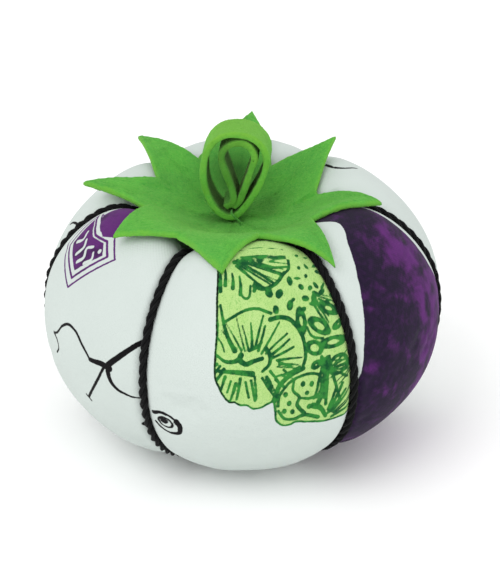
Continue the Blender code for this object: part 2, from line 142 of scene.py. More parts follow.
# The stem. Heights are from its foot.
FELT = 1.3 * MM
PIVOT = Vector(frame["joints"][0]["pos_m"])
OUTER_LOW, OUTER_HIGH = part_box("stem_outer_loop")
STEM_HEIGHT = 19.3 * MM
PIVOT_HEIGHT = 1.95 * MM
LEFT_BULGE, LEFT_TAPER = 6.1 * MM, 0.05
RIGHT_BULGE, RIGHT_TAPER = 7.1 * MM, 0.45
INNER_FOOT = np.array([-0.45, 2.9]) * MM
INNER_NECK = np.array([1.15, 4.9]) * MM
INNER_HEAD = np.array([1.45, 13.5]) * MM
INNER_HALF_SPREAD = 0.75 * MM
INNER_HEAD_RADIUS = 3.25 * MM
STRIP_SPACING = 0.3 * MM
STRIP_YAW = 0.09
STRIP_WAVE = 0.15 * MM
STRIP_FUZZ = 0.035 * MM
STRIP_CORNER = 0.27 * FELT

# The calyx. A point has an angle and, in mm, a reach, the rise of its tip, a sag and the bow of a side.
POINT_ANGLES, *POINT_SIZES = np.transpose([
    (38.0, 27.2, 3.3, 0.0, 0.0),
    (81.2, 31.0, 6.1, 0.0, 0.8),
    (128.0, 30.6, 4.9, 0.3, 0.0),
    (173.0, 29.6, 4.5, 0.9, 0.0),
    (218.0, 29.1, 2.8, 0.0, 0.0),
    (266.0, 29.9, 0.0, 0.0, 0.0),
    (307.0, 32.4, 0.0, 0.4, 0.0),
    (351.0, 29.9, 0.0, 1.1, 0.0),
])
POINT_RADII, POINT_CURLS, POINT_SAGS, POINT_BOWS = np.array(POINT_SIZES) * MM
VALLEY_ANGLES = (60.5, 111.5, 150.5, 195.5, 242.0, 285.0, 324.0, 371.0)
VALLEY_RADII = np.array([16.8, 18.0, 17.2, 17.4, 22.2, 20.3, 19.3, 17.2]) * MM
LOW_VALLEY_ANGLE = VALLEY_ANGLES[4]
VALLEY_SAG = 0.8 * MM
VALLEY_SAG_ANGLE = 13.0
SIDE_STEPS = 30
CALYX_RINGS = 74
CALYX_THICKNESS = 1.4 * MM
CALYX_EDGE_SLANT = 0.62
CALYX_EDGE_ROUNDING = 0.86
CALYX_FUZZ = 0.05 * MM
CALYX_SEAT = 0.25 * MM
CALYX_GAP = 0.25 * MM
CALYX_FLAT_RADIUS = 4.5 * MM
LIFT_EVENINGS = 8
SAG_START_RADIUS = 11.0 * MM
CURL_START_RADIUS = 16.5 * MM
CURL_POWER = 2.2
# Shade on the calyx, behind the stem and beside its foot: a place, a width and a length in mm, a strength.
STEM_SHADES = (
    (0.8, 13.0, 6.0, 6.5, 1.0),
    (0.0, 6.0, 5.0, 5.0, 0.7),
    (7.0, 4.0, 3.2, 4.5, 0.5),
    (-4.0, -0.8, 2.4, 2.0, 0.45),
)


def seam_azimuth(node, radius):
    """The azimuth of a cord, from the corner of its box that lies farthest from the axis."""
    low, high = np.array(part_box(node))
    x, y, _ = np.where(np.abs(high) > np.abs(low), high - radius, low + radius)
    return math.degrees(math.atan2(x, -y))


# ---- The ball's shape


def dimple(radius, depth, width, power):
    return depth * np.exp(-((radius / width) ** power))


def crown_line(latitude):
    """Radius and height above the waist of a lobe's crown, before the foot is flattened."""
    upper = latitude > 0
    power = np.where(upper, UPPER_RADIUS_POWER, LOWER_RADIUS_POWER)
    radius = BALL_RADIUS * np.cos(latitude) ** power
    crown = CROWN_HEIGHT * np.sin(latitude) - dimple(radius, *TOP_DIMPLE)
    keel = KEEL_HEIGHT * np.abs(np.sin(latitude)) ** LOWER_HEIGHT_POWER
    return radius, np.where(upper, crown, dimple(radius, *UNDER_DIMPLE) - keel)


def crown_normal(latitude):
    step = 1e-4
    run, rise = np.subtract(crown_line(latitude + step), crown_line(latitude - step))
    length = np.hypot(run, rise)
    return rise / length, -run / length


def seam_depth(latitude):
    depth_at_end = np.where(latitude > 0, SEAM_DEPTH_AT_TOP, SEAM_DEPTH_AT_FOOT)
    rise = (depth_at_end - SEAM_DEPTH_AT_WAIST) * np.abs(np.sin(latitude)) ** SEAM_DEPTH_RISE
    fade = dimple(crown_line(latitude)[0], 1.0, SEAM_FADE_RADIUS, 2)
    return (SEAM_DEPTH_AT_WAIST + rise) * (1.0 - fade)


def section_point(latitude, inset):
    radius, height = crown_line(latitude)
    out, up = crown_normal(latitude)
    return radius - inset * out, height - inset * up


def upper_latitude(radius):
    return np.arccos(np.clip(radius / BALL_RADIUS, 0, 1) ** (1 / UPPER_RADIUS_POWER))


LOWEST_LATITUDE = -math.acos((GORE_END_RADIUS / BALL_RADIUS) ** (1 / LOWER_RADIUS_POWER))
PROFILE = np.linspace(LOWEST_LATITUDE, upper_latitude(GORE_END_RADIUS), 4001)
PROFILE_RADIUS, PROFILE_HEIGHT = crown_line(PROFILE)
PROFILE_LENGTH = np.cumsum(np.hypot(np.diff(PROFILE_RADIUS, prepend=PROFILE_RADIUS[0]),
                                    np.diff(PROFILE_HEIGHT, prepend=PROFILE_HEIGHT[0])))
PROFILE_LENGTH -= np.interp(0.0, PROFILE, PROFILE_LENGTH)
FOOT_HEIGHT = PROFILE_HEIGHT.min() + FOOT_FLATTENING
WAIST_Z = FOOT_Z + FRAME_CLOTH / 2 - FOOT_HEIGHT
SEAM_AZIMUTHS = [seam_azimuth(node, CORD_RADIUS) for node in CORDS]


def latitude_at(length):
    """The latitude at a distance along the crown line, counted from the waist."""
    return np.interp(length, PROFILE_LENGTH, PROFILE)


def polar(radius, azimuth, z):
    angle = np.radians(azimuth)
    return np.stack(np.broadcast_arrays(radius * np.sin(angle), -radius * np.cos(angle), z), axis=-1)


def gore_span(index):
    start = SEAM_AZIMUTHS[index]
    end = SEAM_AZIMUTHS[(index + 1) % len(SEAM_AZIMUTHS)]
    return start, end + (360.0 if end < start else 0.0)


def gore_surface(index, latitude, share, inset):
    """Points on a gore. Latitude and share are arrays that broadcast against each other."""
    start, end = gore_span(index)
    seam_radius, _ = section_point(latitude, seam_depth(latitude))
    edge = np.degrees(np.arcsin(SEAM_HALF_GAP / seam_radius))
    azimuth = start + edge + (end - start - 2 * edge) * share
    crease = np.abs(2 * share - 1) ** LOBE_FULLNESS
    swell = LOBE_SWELLS[index] * (1 - crease) * np.cos(latitude) ** 2
    radius, height = section_point(latitude, seam_depth(latitude) * crease - swell + inset)
    height = np.maximum(height, FOOT_HEIGHT + inset)
    return polar(radius, azimuth, height + WAIST_Z)


# ---- Mesh helpers


def new_object(name, vertices, faces):
    mesh = bpy.data.meshes.new(name)
    mesh.from_pydata([tuple(v) for v in np.reshape(vertices, (-1, 3))], [], [tuple(f) for f in faces])
    mesh.validate()
    mesh.shade_smooth()
    item = bpy.data.objects.new(name, mesh)
    bpy.context.scene.collection.objects.link(item)
    return item


def keep(item, node, material, rigid=True):
    """The item takes the place of a node of the frame, and rides on the cushion if it is rigid."""
    item.data.materials.append(material)
    if rigid:
        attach(item, "cushion")
    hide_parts(node)


def grid_faces(rows, columns, close_rows=False, close_columns=False, start=0):
    """Quads over a grid of points stored row by row."""
    row = np.arange(rows if close_rows else rows - 1)
    column = np.arange(columns if close_columns else columns - 1)
    row, column = [part.ravel() for part in np.meshgrid(row, column, indexing="ij")]
    after_row, after_column = (row + 1) % rows, (column + 1) % columns
    corners = (
        row * columns + column,
        row * columns + after_column,
        after_row * columns + after_column,
        after_row * columns + column,
    )
    return (np.stack(corners, axis=1) + start).tolist()


def end_caps(rows, columns):
    """Faces for both ends of a tube whose rows are rings."""
    return [list(range(columns)), list(range(rows * columns - 1, (rows - 1) * columns - 1, -1))]


def tube_faces(rows, columns, closed):
    faces = grid_faces(rows, columns, close_rows=closed, close_columns=True)
    return faces if closed else faces + end_caps(rows, columns)


def set_attribute(item, name, values):
    attribute = item.data.attributes.new(name, "FLOAT", "POINT")
    attribute.data.foreach_set("value", np.asarray(values, np.float32).ravel())


def set_uv(item, uv):
    """A UV map from one pair of coordinates per vertex."""
    layer = item.data.uv_layers.new(name="UVMap")
    corners = np.empty(len(item.data.loops), np.int32)
    item.data.loops.foreach_get("vertex_index", corners)
    layer.data.foreach_set("uv", np.reshape(uv, (-1, 2)).astype(np.float32)[corners].ravel())


def fix_normals(item):
    builder = bmesh.new()
    builder.from_mesh(item.data)
    bmesh.ops.recalc_face_normals(builder, faces=builder.faces)
    builder.to_mesh(item.data)
    builder.free()
    item.data.shade_smooth()


def smooth_values(values, position):
    """Catmull-Rom values at float positions along the first axis, with straight ends."""
    start, end = 2 * values[:1] - values[1:2], 2 * values[-1:] - values[-2:-1]
    padded = np.concatenate([start, values, end])
    base = np.clip(np.floor(position).astype(int), 0, len(values) - 2)
    t = (position - base).reshape((-1,) + (1,) * (values.ndim - 1))
    before, here, there, after = (padded[base + step] for step in range(4))
    slope, bend = there - before, 2 * before - 5 * here + 4 * there - after
    return here + 0.5 * (slope * t + bend * t**2 + (3 * here - before - 3 * there + after) * t**3)


def resample(grid, row_position, column_position):
    """A smooth finer version of a grid of points."""
    rows = smooth_values(grid, row_position)
    return smooth_values(rows.swapaxes(0, 1), column_position).swapaxes(0, 1)


def unit(vectors):
    return vectors / np.maximum(np.linalg.norm(vectors, axis=-1, keepdims=True), 1e-12)


def distances_along(path):
    return np.concatenate([[0], np.cumsum(np.linalg.norm(np.diff(path, axis=0), axis=1))])


# ---- Node helpers


def linear(red, green, blue, light=LIGHT_LEVEL):
    """The reflectance of a stuff that looks like these 8-bit display values under the studio light."""
    def channel(value):
        value /= 255.0
        return (value / 12.92 if value <= 0.04045 else ((value + 0.055) / 1.055) ** 2.4) / light
    return (channel(red), channel(green), channel(blue), 1.0)


class Finish:
    """A material with a Principled shader, and short calls that add nodes to it."""

    def __init__(self, name):
        self.material = bpy.data.materials.new(name)
        self.material.use_nodes = True
        self.tree = self.material.node_tree
        self.shader = self.tree.nodes["Principled BSDF"]
        coordinates = self.add("TexCoord").outputs
        self.point, self.uv = coordinates["Object"], coordinates["UV"]

    def add(self, kind, inputs=(), **settings):
        node = self.tree.nodes.new("ShaderNode" + kind)
        for key, value in settings.items():
            setattr(node, key, value)
        self.fill(node, inputs)
        return node

    def fill(self, node, inputs):
        for key, value in dict(inputs).items():
            if isinstance(value, bpy.types.NodeSocket):
                self.tree.links.new(value, node.inputs[key])
            else:
                node.inputs[key].default_value = value

    def math(self, operation, *values):
        return self.add("Math", enumerate(values), operation=operation).outputs[0]

    def mix(self, factor, first, second, blend="MIX"):
        """A mix of two colours. A triple is a colour as it is displayed."""
        first, second = (linear(*part) if isinstance(part, tuple) else part for part in (first, second))
        inputs = {"Factor": factor, 6: first, 7: second}
        return self.add("Mix", inputs, data_type="RGBA", blend_type=blend).outputs[2]

    def ramp(self, value, low, high, start=0.0, end=1.0):
        """Value mapped from low..high to start..end, clamped and eased."""
        inputs = enumerate((value, low, high, start, end))
        return self.add("MapRange", inputs, interpolation_type="SMOOTHSTEP").outputs[0]

    def noise(self, vector, scale, detail=3.0, roughness=0.55, distortion=0.0):
        inputs = {"Vector": vector, "Scale": scale, "Detail": detail,
                  "Roughness": roughness, "Distortion": distortion}
        return self.add("TexNoise", inputs).outputs["Fac"]

    def attribute(self, name):
        return self.add("Attribute", attribute_name=name).outputs["Fac"]

    def stretched(self, vector, *scale):
        return self.add("Mapping", {"Vector": vector, "Scale": scale}).outputs["Vector"]

    def bump(self, height, distance, strength, normal=None):
        inputs = {"Height": height, "Distance": distance, "Strength": strength}
        if normal is not None:
            inputs["Normal"] = normal
        return self.add("Bump", inputs).outputs["Normal"]

    def finish(self, colour, roughness, normal=None, sheen=0.0, sheen_tint=None):
        inputs = {"Base Color": colour, "Roughness": roughness, "Sheen Weight": sheen,
                  "Specular IOR Level": SPECULAR, "Sheen Tint": sheen_tint, "Normal": normal}
        self.fill(self.shader, {key: value for key, value in inputs.items() if value is not None})
        return self.material


# ---- The cover


CLOTH_SETTINGS = {
    "quality": 6, "mass": 0.15, "tension_stiffness": 25, "compression_stiffness": 25, "shear_stiffness": 12,
    "bending_stiffness": 0.4, "air_damping": 3, "vertex_group_mass": "held", "use_pressure": True,
    "uniform_pressure_force": 5.0, "shrink_min": -0.025,
}


def simulate_cover(grids):
    """Inflates the six gores as one cloth, held along its seams and at both ends."""
    grids = np.array(grids)
    pieces, rows, columns = grids.shape[:3]
    faces = sum((grid_faces(rows, columns, start=index * rows * columns) for index in range(pieces)), [])
    held = np.ones((pieces, rows, columns), bool)
    held[:, 1:-1, 1:-1] = False
    cloth = new_object("cover_cloth", grids, faces)
    cloth.vertex_groups.new(name="held").add(np.flatnonzero(held).tolist(), 1.0, "REPLACE")
    modifier = cloth.modifiers.new("cloth", "CLOTH")
    for key, value in CLOTH_SETTINGS.items():
        setattr(modifier.settings, key, value)
    modifier.settings.effector_weights.gravity = 0.0
    modifier.collision_settings.use_collision = False
    modifier.point_cache.frame_end = SIM_FRAMES
    scene = bpy.context.scene
    for step in range(1, SIM_FRAMES + 1):
        scene.frame_set(step)
    evaluated = cloth.evaluated_get(bpy.context.evaluated_depsgraph_get())
    points = np.empty(grids.size, np.float32)
    evaluated.data.vertices.foreach_get("co", points)
    scene.frame_set(1)
    bpy.data.objects.remove(cloth, do_unlink=True)
    return points.reshape(grids.shape).astype(float)


def cap_move(before, after, cap):
    """The simulated points, kept within a distance of where they started and above the foot."""
    move = after - before
    length = np.linalg.norm(move, axis=-1, keepdims=True)
    points = before + move * cap * np.tanh(length / cap) / np.maximum(length, 1e-9)
    points[..., 2] = np.maximum(points[..., 2], FOOT_Z)
    return points


def fine_rows(rows, spacing):
    """Distances along the crown line: close together where the print shows, wider elsewhere."""
    low, high = PROFILE_LENGTH[0], PROFILE_LENGTH[-1]
    printed = np.arange(PRINT_LOW, PRINT_HIGH, spacing)
    spare = rows - len(printed)
    below = max(4, int(spare * (PRINT_LOW - low) / ((PRINT_LOW - low) + (high - PRINT_HIGH))))
    below_rows = np.linspace(low, PRINT_LOW, below, endpoint=False)
    return np.concatenate([below_rows, printed, np.linspace(PRINT_HIGH, high, spare - below)])


def gore_mesh(index, coarse):
    """One gore as a closed piece of cloth: printed face, turned-in allowances and inner face."""
    columns, rows, spacing = FINE_GRID if index in FINE_GORES else PLAIN_GRID
    lengths = fine_rows(rows, spacing)
    low, high = PROFILE_LENGTH[[0, -1]]
    row_position = (lengths - low) / (high - low) * (len(coarse) - 1)
    shares = np.linspace(0, 1, columns + 1)
    face = resample(coarse, row_position, shares * (coarse.shape[1] - 1))
    normals = unit(np.cross(np.gradient(face, axis=1), np.gradient(face, axis=0)))
    latitude = latitude_at(lengths)
    start, end = gore_span(index)

    out, up = crown_normal(latitude)
    steps = np.arange(ALLOWANCE_COLUMNS, 0, -1)
    depth = (ALLOWANCE * steps / ALLOWANCE_COLUMNS * (np.cos(latitude) ** 0.5)[:, None])[..., None]
    left = face[:, :1] - polar(out, start, up)[:, None] * depth
    right = face[:, -1:] - polar(out, end, up)[:, None] * depth[:, ::-1]
    for side in (left, right):
        side[..., 2] = np.maximum(side[..., 2], FOOT_Z + CLOTH)
    from_left, from_right = polar(CLOTH, start + 90.0, 0.0), polar(CLOTH, end - 90.0, 0.0)
    inner = (face - normals * CLOTH)[:, ::INNER_STEP]
    inner[:, 0] += from_left
    inner[:, -1] += from_right
    inner = np.concatenate([left + from_left, inner, right + from_right], axis=1)[:, ::-1]
    ring = np.concatenate([left, face, right, inner], axis=1)
    ring[..., 2] = np.maximum(ring[..., 2], FOOT_Z)
    around = ring.shape[1]
    faces = grid_faces(rows, around, close_columns=True) + [cap[::-1] for cap in end_caps(rows, around)]
    gore = new_object(f"gore_{index + 1}", ring, faces)

    on_face = slice(ALLOWANCE_COLUMNS, ALLOWANCE_COLUMNS + columns + 1)

    def spread(values, elsewhere=BLANK):
        """Values of the printed face, with one value for the rest of the gore."""
        full = np.full((rows, around), elsewhere)
        full[:, on_face] = values
        return full

    width = np.radians(end - start) * np.linalg.norm(face[..., :2], axis=-1)
    across = (shares[None, :] - 0.5) * width
    along = np.broadcast_to(lengths[:, None], across.shape)
    set_uv(gore, np.stack([spread(across, 0.0), spread(along, 0.0)], axis=-1) / MM)
    seam_distance = spread((0.5 * width - np.abs(across)) / MM)
    seam_distance[:, :ALLOWANCE_COLUMNS] = 0.0
    set_attribute(gore, "seam_distance", seam_distance)
    for name, values in printed_areas(index, across / MM, along / MM).items():
        set_attribute(gore, name, spread(values, 0.0 if name == "brightness" else BLANK))
    return gore


# ---- The print. Places are in mm on a gore: across from its middle, and up from its widest level.
# Distances are negative inside a printed shape. Runs of places are written as x, y, x, y ...

BLANK = 9.0
FAR = 99.0


def stroke(x, y, points, width, end_width=None):
    """Distance to a brush line through points, which may change its width from start to end."""
    end_width = width if end_width is None else end_width
    nearest = np.full(x.shape, FAR)
    pieces = len(points) - 1
    for piece in range(pieces):
        (ax, ay), (bx, by) = points[piece], points[piece + 1]
        run, rise = bx - ax, by - ay
        share = ((x - ax) * run + (y - ay) * rise) / (run**2 + rise**2 + 1e-9)
        share = np.clip(share, 0, 1)
        half = 0.5 * (width + (end_width - width) * (piece + share) / pieces)
        nearest = np.minimum(nearest, np.hypot(x - ax - run * share, y - ay - rise * share) - half)
    return nearest


def curved(places, steps=6):
    """More points along a smooth curve through the given places."""
    points = np.reshape(places, (-1, 2)).astype(float)
    return smooth_values(points, np.linspace(0, len(points) - 1, steps * (len(points) - 1) + 1))


def lines(x, y, *rows):
    """Distance to smooth brush lines. A row has a width at its start and at its end, then its places."""
    return np.minimum.reduce([stroke(x, y, curved(row[2:]), *row[:2]) for row in rows])


def filled(x, y, places):
    """Distance to a closed outline, negative inside it."""
    corners = np.reshape(places, (-1, 2)).astype(float)
    edge = stroke(x, y, np.concatenate([corners, corners[:1]]), 0.0)
    inside = np.zeros(x.shape, bool)
    for (ax, ay), (bx, by) in zip(corners, np.roll(corners, -1, axis=0)):
        crosses = (ay > y) != (by > y)
        at = ax + (bx - ax) * (y - ay) / (by - ay + 1e-12)
        inside ^= crosses & (x < at)
    return np.where(inside, -edge, edge)


def spot(x, y, across, up, wide, tall, lean=0.0):
    """Distance to a leaning oval."""
    turn = math.radians(lean)
    dx, dy = x - across, y - up
    along = dx * math.cos(turn) + dy * math.sin(turn)
    over = -dx * math.sin(turn) + dy * math.cos(turn)
    return (np.hypot(along / wide, over / tall) - 1.0) * min(wide, tall)


def loop(x, y, *oval, line):
    """Distance to the drawn line of a leaning oval."""
    return np.abs(spot(x, y, *oval)) - 0.5 * line


def fan(x, y, draw, across, up, inner, outer, start, end, blades, width):
    """Distance to unevenly drawn spokes from an inner to an outer reach, angles in degrees."""
    nearest = np.full(x.shape, FAR)
    for blade in range(blades):
        angle = math.radians(start + (end - start) * (blade + 0.2 * draw(-1, 1)) / (blades - 1))
        near, far = inner * draw(0.9, 1.25), outer * draw(0.8, 1.0)
        bend = 0.04 * draw(-1, 1)
        points = [
            (across + reach * math.cos(angle + bend * k), up + reach * math.sin(angle + bend * k))
            for k, reach in enumerate((near, 0.5 * (near + far), far))
        ]
        wide = width * draw(0.7, 1.3)
        nearest = np.minimum(nearest, stroke(x, y, points, wide, wide * draw(0.4, 1.1)))
    return nearest


PATCH_LEFT = (
    -5.1, 40, -5.2, 25, -5.6, 19, -5.9, 13, -6.4, 8, -6.6, 4.6, -5.9, 2.4, -5.1, 0.8, -4.1, -0.5,
    -3, -0.6, -1.9, -1.2, -0.6, -1.3, 0.6, -2.1, 2.2, -1.9, 3.4, -1.2, 4.5, -0.8,
)
PATCH_FOOT = (4.6, -1, 4.8, -3, 4.9, -5, 6, -6.4, 7.6, -6.6, 9, -6.1, 12, -6.9, 16, -7.8, 25, -8.5)
PATCH_CORNER = (25, 40)
PATCH_LINES = (
    # The big fan: its bow, the ring in its middle, and the lines beside it.
    (0.55, 0.65, -4.5, 14.6, -3, 15.4, -0.5, 16.7, 2, 17, 4.6, 15.9),
    (0.95, 0.65, 4.4, 14.8, 6.6, 15, 8.7, 14, 10.6, 11, 11.1, 7.4, 10.4, 5.2),
    (0.5, 1.0, -5, 17.8, -4.5, 14.4, -3.8, 11.8, -2.6, 9.4),
    (0.5, 1.1, -6.4, 8.8, -4.4, 7.4, -2.2, 7.6, -1.4, 8.6),
    (1.1, 0.8, -1.8, 7.7, -0.6, 6.9, 1, 7.4, 2.6, 7.8),
    (0.9, 0.6, 3.4, 9.6, 4.1, 8.2, 3.9, 6.6, 2.6, 5.4),
    (0.7, 0.5, 0.2, 9.4, 1.6, 9.9, 2.6, 10.8),
    (0.7, 1.2, -5.8, 5.6, -3.8, 5.5, -1.6, 5.3, 0.6, 5),
    (0.8, 1.1, 10.6, 5, 7.6, 3.9, 5.6, 2, 4.6, -0.8),
    (0.6, 0.4, 9.8, 5.4, 7.4, 4.6, 5, 4.2),
    (0.35, 0.35, -6.1, 17, -5.6, 14.6, -5.8, 12),
    (0.35, 0.35, -6.2, 12.4, -5, 10.6, -4.6, 9.2),
    # The small fan above.
    (0.5, 0.5, -0.6, 27.6, 3, 27.7, 8, 27),
    (0.4, 0.4, -1, 29.6, 3, 30, 7.6, 29),
    (0.4, 0.4, -0.6, 33, 3.4, 33.6, 7, 32.2),
    (0.9, 0.5, -2, 26.4, 1.4, 26, 5, 24.8, 8.2, 24.6),
    (0.6, 0.6, 8.6, 26, 8.6, 24.2, 7.6, 23.2),
    (0.8, 0.8, 7.6, 23.4, 5.8, 21.4, 3.4, 20.6, 1.6, 21.4),
    (0.5, 0.5, -1.1, 20.2, -0.4, 19.1, 0.6, 19.3, 0.9, 21.4),
    # Stalks on the right.
    (0.8, 1.1, 14.4, 6.4, 14.9, 3, 14.8, 0, 13.6, -3),
    (0.5, 0.5, 11.6, 12.4, 12.6, 10.6, 14.8, 9.8),
    (1.2, 0.8, 12.4, -3.4, 14, -4.4, 15, -6.4),
    # Pebbles.
    (0.6, 0.6, 5.4, -2, 5.6, 0, 6.8, 1.8, 8.6, 3.2, 11.5, 3.8, 13.8, 3, 14.2, 0.6, 13.2, -1.8),
    (0.5, 0.9, 8.6, 2.8, 8.4, 1, 9.6, -0.6, 9.2, -2.4, 10.6, -4.6),
    (0.5, 0.9, 9.6, -0.8, 11.4, -1.6, 13.4, -1.4),
    (0.6, 0.9, 5.4, -3, 6.6, -4.9, 8.4, -5.3, 10.6, -4.9, 13.4, -6.2),
)
# Fans: a place, an inner and an outer reach, a start and an end angle, blades and their width.
BIG_FANS = (
    (0.4, 5.8, 3.8, 10.2, 46, 126, 9, 0.55),
    (0.6, 6.6, 4.4, 10.0, -8, 26, 5, 0.5),
    (0.2, 9.2, 6.2, 10.4, -56, -24, 5, 0.6),
    (-0.9, 12, 7.6, 13.4, 224, 306, 13, 0.62),
)
SMALL_FAN = (-5, 29, 4.0, 16.0, -46, -10, 11, 0.5)
SMALL_FAN_OUTLINE = (-2.5, 27.4, 8, 27.4, 8.7, 24.4, 6.6, 21.6, 3.4, 20.4, 0.4, 21.2, -2.4, 25)
HATCHING = (
    (15.6, 8.4, 2.4, 12.4, 254, 278, 4, 0.7),
    (23.5, 3.6, 2.0, 7.6, 168, 214, 6, 0.5),
    (14.2, -7.6, 2.4, 9.4, 14, 62, 7, 0.6),
    (15.8, 4, 1.2, 5.4, -38, 24, 5, 0.45),
    (12, 19, 2.4, 8.6, -64, -20, 6, 0.4),
)
# Drips: a place across, a top and a foot. Leaves: a place, a width, a height and a lean.
DRIPS = ((-4.9, 25.5, 20.4), (-3.9, 25.5, 21.6), (-2.5, 24, 21), (-1.1, 23.4, 19.8), (1.6, 22, 20.4))
SPOTS = ((8.6, 21.6), (6.4, 19.4), (4.4, 19.8), (8.4, 17), (5.6, 16.5), (13.4, 17.6))
LEAVES = (
    (10.5, 13.8, 0.7, 1.8, 8), (14.2, 12.2, 2.1, 0.9, -38), (13, 8.4, 1.5, 1.0, -30), (17, 8.6, 2.3, 0.8, -4),
    (16.4, 15, 1.8, 0.7, -30), (18.4, 11.6, 0.9, 0.5, 20), (18, 4, 2.0, 1.8, 10), (13.2, 5.2, 0.7, 0.5, 20),
)
DOTS = ((10.4, 2), (12.2, 1.6), (11.2, -0.1), (6.9, 0.4), (7.6, -1.6), (6.6, -3.2), (11.6, -3.4), (8.2, -3.6))


def front_print(x, y):
    """A leafy green patch with fans, spots and pebbles, and a small drawn ring beside it."""
    draw = np.random.default_rng(SEED).uniform
    outline, step = curved(PATCH_LEFT), curved(PATCH_FOOT)
    patch = filled(x, y, [*outline, *step, PATCH_CORNER])
    inks = [stroke(x, y, outline, 0.5), stroke(x, y, step, 0.6), lines(x, y, *PATCH_LINES)]
    inks += [fan(x, y, draw, *row) for row in BIG_FANS]
    inks.append(np.maximum(fan(x, y, draw, *SMALL_FAN), filled(x, y, SMALL_FAN_OUTLINE)))
    for across, top, foot in DRIPS:
        inks.append(lines(x, y, (0.4, 0.8, across, top, across + 0.15, 0.5 * (top + foot), across, foot)))
    for centre in SPOTS:
        inks.append(spot(x, y, *centre, draw(0.55, 0.75), draw(0.8, 1.1), draw(-25, 25)))
    for row in range(6):
        for column in range(5):
            centre = 10.4 + 1.9 * column + 0.4 * row * draw(-1, 1), 26.5 - 2.1 * row + draw(-0.6, 0.6)
            inks.append(spot(x, y, *centre, draw(0.35, 1.0), draw(0.3, 0.6), draw(-60, 60)))
    inks += [loop(x, y, *leaf, line=0.75) for leaf in LEAVES]
    inks += [fan(x, y, draw, *row) for row in HATCHING]
    inks += [spot(x, y, *centre, 0.5, 0.6) for centre in DOTS]
    green = np.maximum(np.minimum.reduce(inks), patch - 0.2)
    black = [
        lines(
            x, y,
            (0.5, 0.5, -19.2, -5.4, -17.4, -4.9, -15.2, -5.9, -13.9, -7.6, -14.2, -9.3, -15.8, -9.8,
             -17.6, -9.2, -19, -7.8),
            (1.3, 0.7, -14.6, -6.4, -13.9, -7.6, -14.2, -9.3, -15.8, -9.8),
            (0.9, 0.6, -19.4, -5.6, -18, -5, -16.8, -5.2),
        ),
        spot(x, y, -17.2, -6.9, 0.9, 0.7, -20),
        loop(x, y, -16.9, -7.2, 1.5, 1.1, -25, line=0.42),
        # The darker part of the patch's left edge.
        stroke(x, y, outline[:60], 0.34, 0.24),
    ]
    return {"patch": patch, "green_ink": green, "black_ink": np.minimum.reduce(black)}


def right_print(x, y):
    """A mottled dark wash with a pale crescent beside the front seam."""
    edge = curved((
        -2, 40, -2.4, 34, -2, 30.8, -3.2, 28.4, -5.6, 25.8, -7.4, 23, -9.1, 20, -10.7, 17.1, -12.2, 14.2,
        -13.9, 10.4, -15.4, 6.8, -16.6, 2.7, -17.5, -0.8, -19, -3, -24, -4,
    ))
    wash = filled(x, y, [*edge, (-24, -60), (40, -60), (40, 40)])
    bare = 3.2 * np.clip((y - 2) / 8, 0, 1) - (x[:, -1:] - x)
    top_left = np.clip((y - 19) / 5, 0, 1) * np.clip((8 - x) / 6, 0, 1)
    foot = np.clip(-(y + 10) / 6, 0, 1)
    glint = np.exp(-(((y - 23) / 4) ** 2) - ((x - 3) / 3) ** 2)
    brightness = np.clip((x + 1) / 7, -0.6, 0.9) + 0.1 * glint + (0.4 * foot - 0.9 * top_left)
    return {"purple": np.maximum(wash, bare), "brightness": brightness}


def left_print(x, y):
    """A framed lattice of white marks on purple, and a bare twig."""
    purple = np.minimum.reduce([
        filled(x, y, (-9.5, 31, -7, 34.5, -0.8, 30, 0.6, 25.4, -2.6, 23.9, -6, 24.6, -9.6, 26.2)),
        np.abs(filled(x, y, (-14, 16.5, -3.3, 11.8, 5, 21.8, 0.4, 25.4, -4.6, 24.4, -14, 27))) - 0.22,
        np.abs(filled(x, y, (-12, 17, -3.4, 13.8, 2.8, 21.5, -0.4, 23.8, -5, 23, -12, 25))) - 0.28,
        filled(x, y, (-11, 18, -3.8, 15.2, 1.4, 21.1, -0.8, 23.1, -5.4, 22.4, -11, 24.2)),
    ])
    marks = lines(
        x, y,
        (0.8, 0.6, -4.6, 16.8, -3.4, 18.4, -4.4, 20, -2.8, 21.2),
        (0.7, 0.5, -2.2, 17.6, -0.8, 19.2, -1.6, 20.4),
        (0.8, 0.6, -6.6, 17.6, -5.6, 19.6, -6.6, 21),
        (0.8, 0.6, -9.6, 19, -8, 20.4, -8.6, 22),
    )
    marks = np.minimum(marks, spot(x, y, -0.2, 21.4, 0.5, 0.5))
    twig = lines(
        x, y,
        (1.0, 1.3, 21.5, 10.4, 19.6, 8.4, 17, 5.4, 14, 2.2),
        (1.5, 0.9, 14.4, 1.6, 12.4, 1.9, 10.6, 1.8, 9, 1.7),
        (0.7, 0.5, 9.2, 1.6, 6.6, 3.8, 3.8, 5.5, 1, 5.8, -1.3, 4.5, -3.2, 2.3, -5.2, 1.2),
        (0.55, 0.45, -5.2, 1.4, -3.6, 0.4, -3.4, -1.4, -4.4, -2.8),
        (0.65, 0.6, 12.9, 1.2, 11.4, -1.6, 9.4, -4.6, 7, -7.8),
        (0.5, 0.5, 6.4, -7.4, 7.6, -8.4),
        (1.2, 0.3, 14, 1, 14.6, -1, 16, -2.4, 18, -3.1, 21, -3.6),
    )
    twig = np.minimum(twig, spot(x, y, 20.2, -10.6, 1.1, 0.8))
    return {"purple": np.maximum(purple, -marks), "black_ink": twig, "brightness": 1.6}


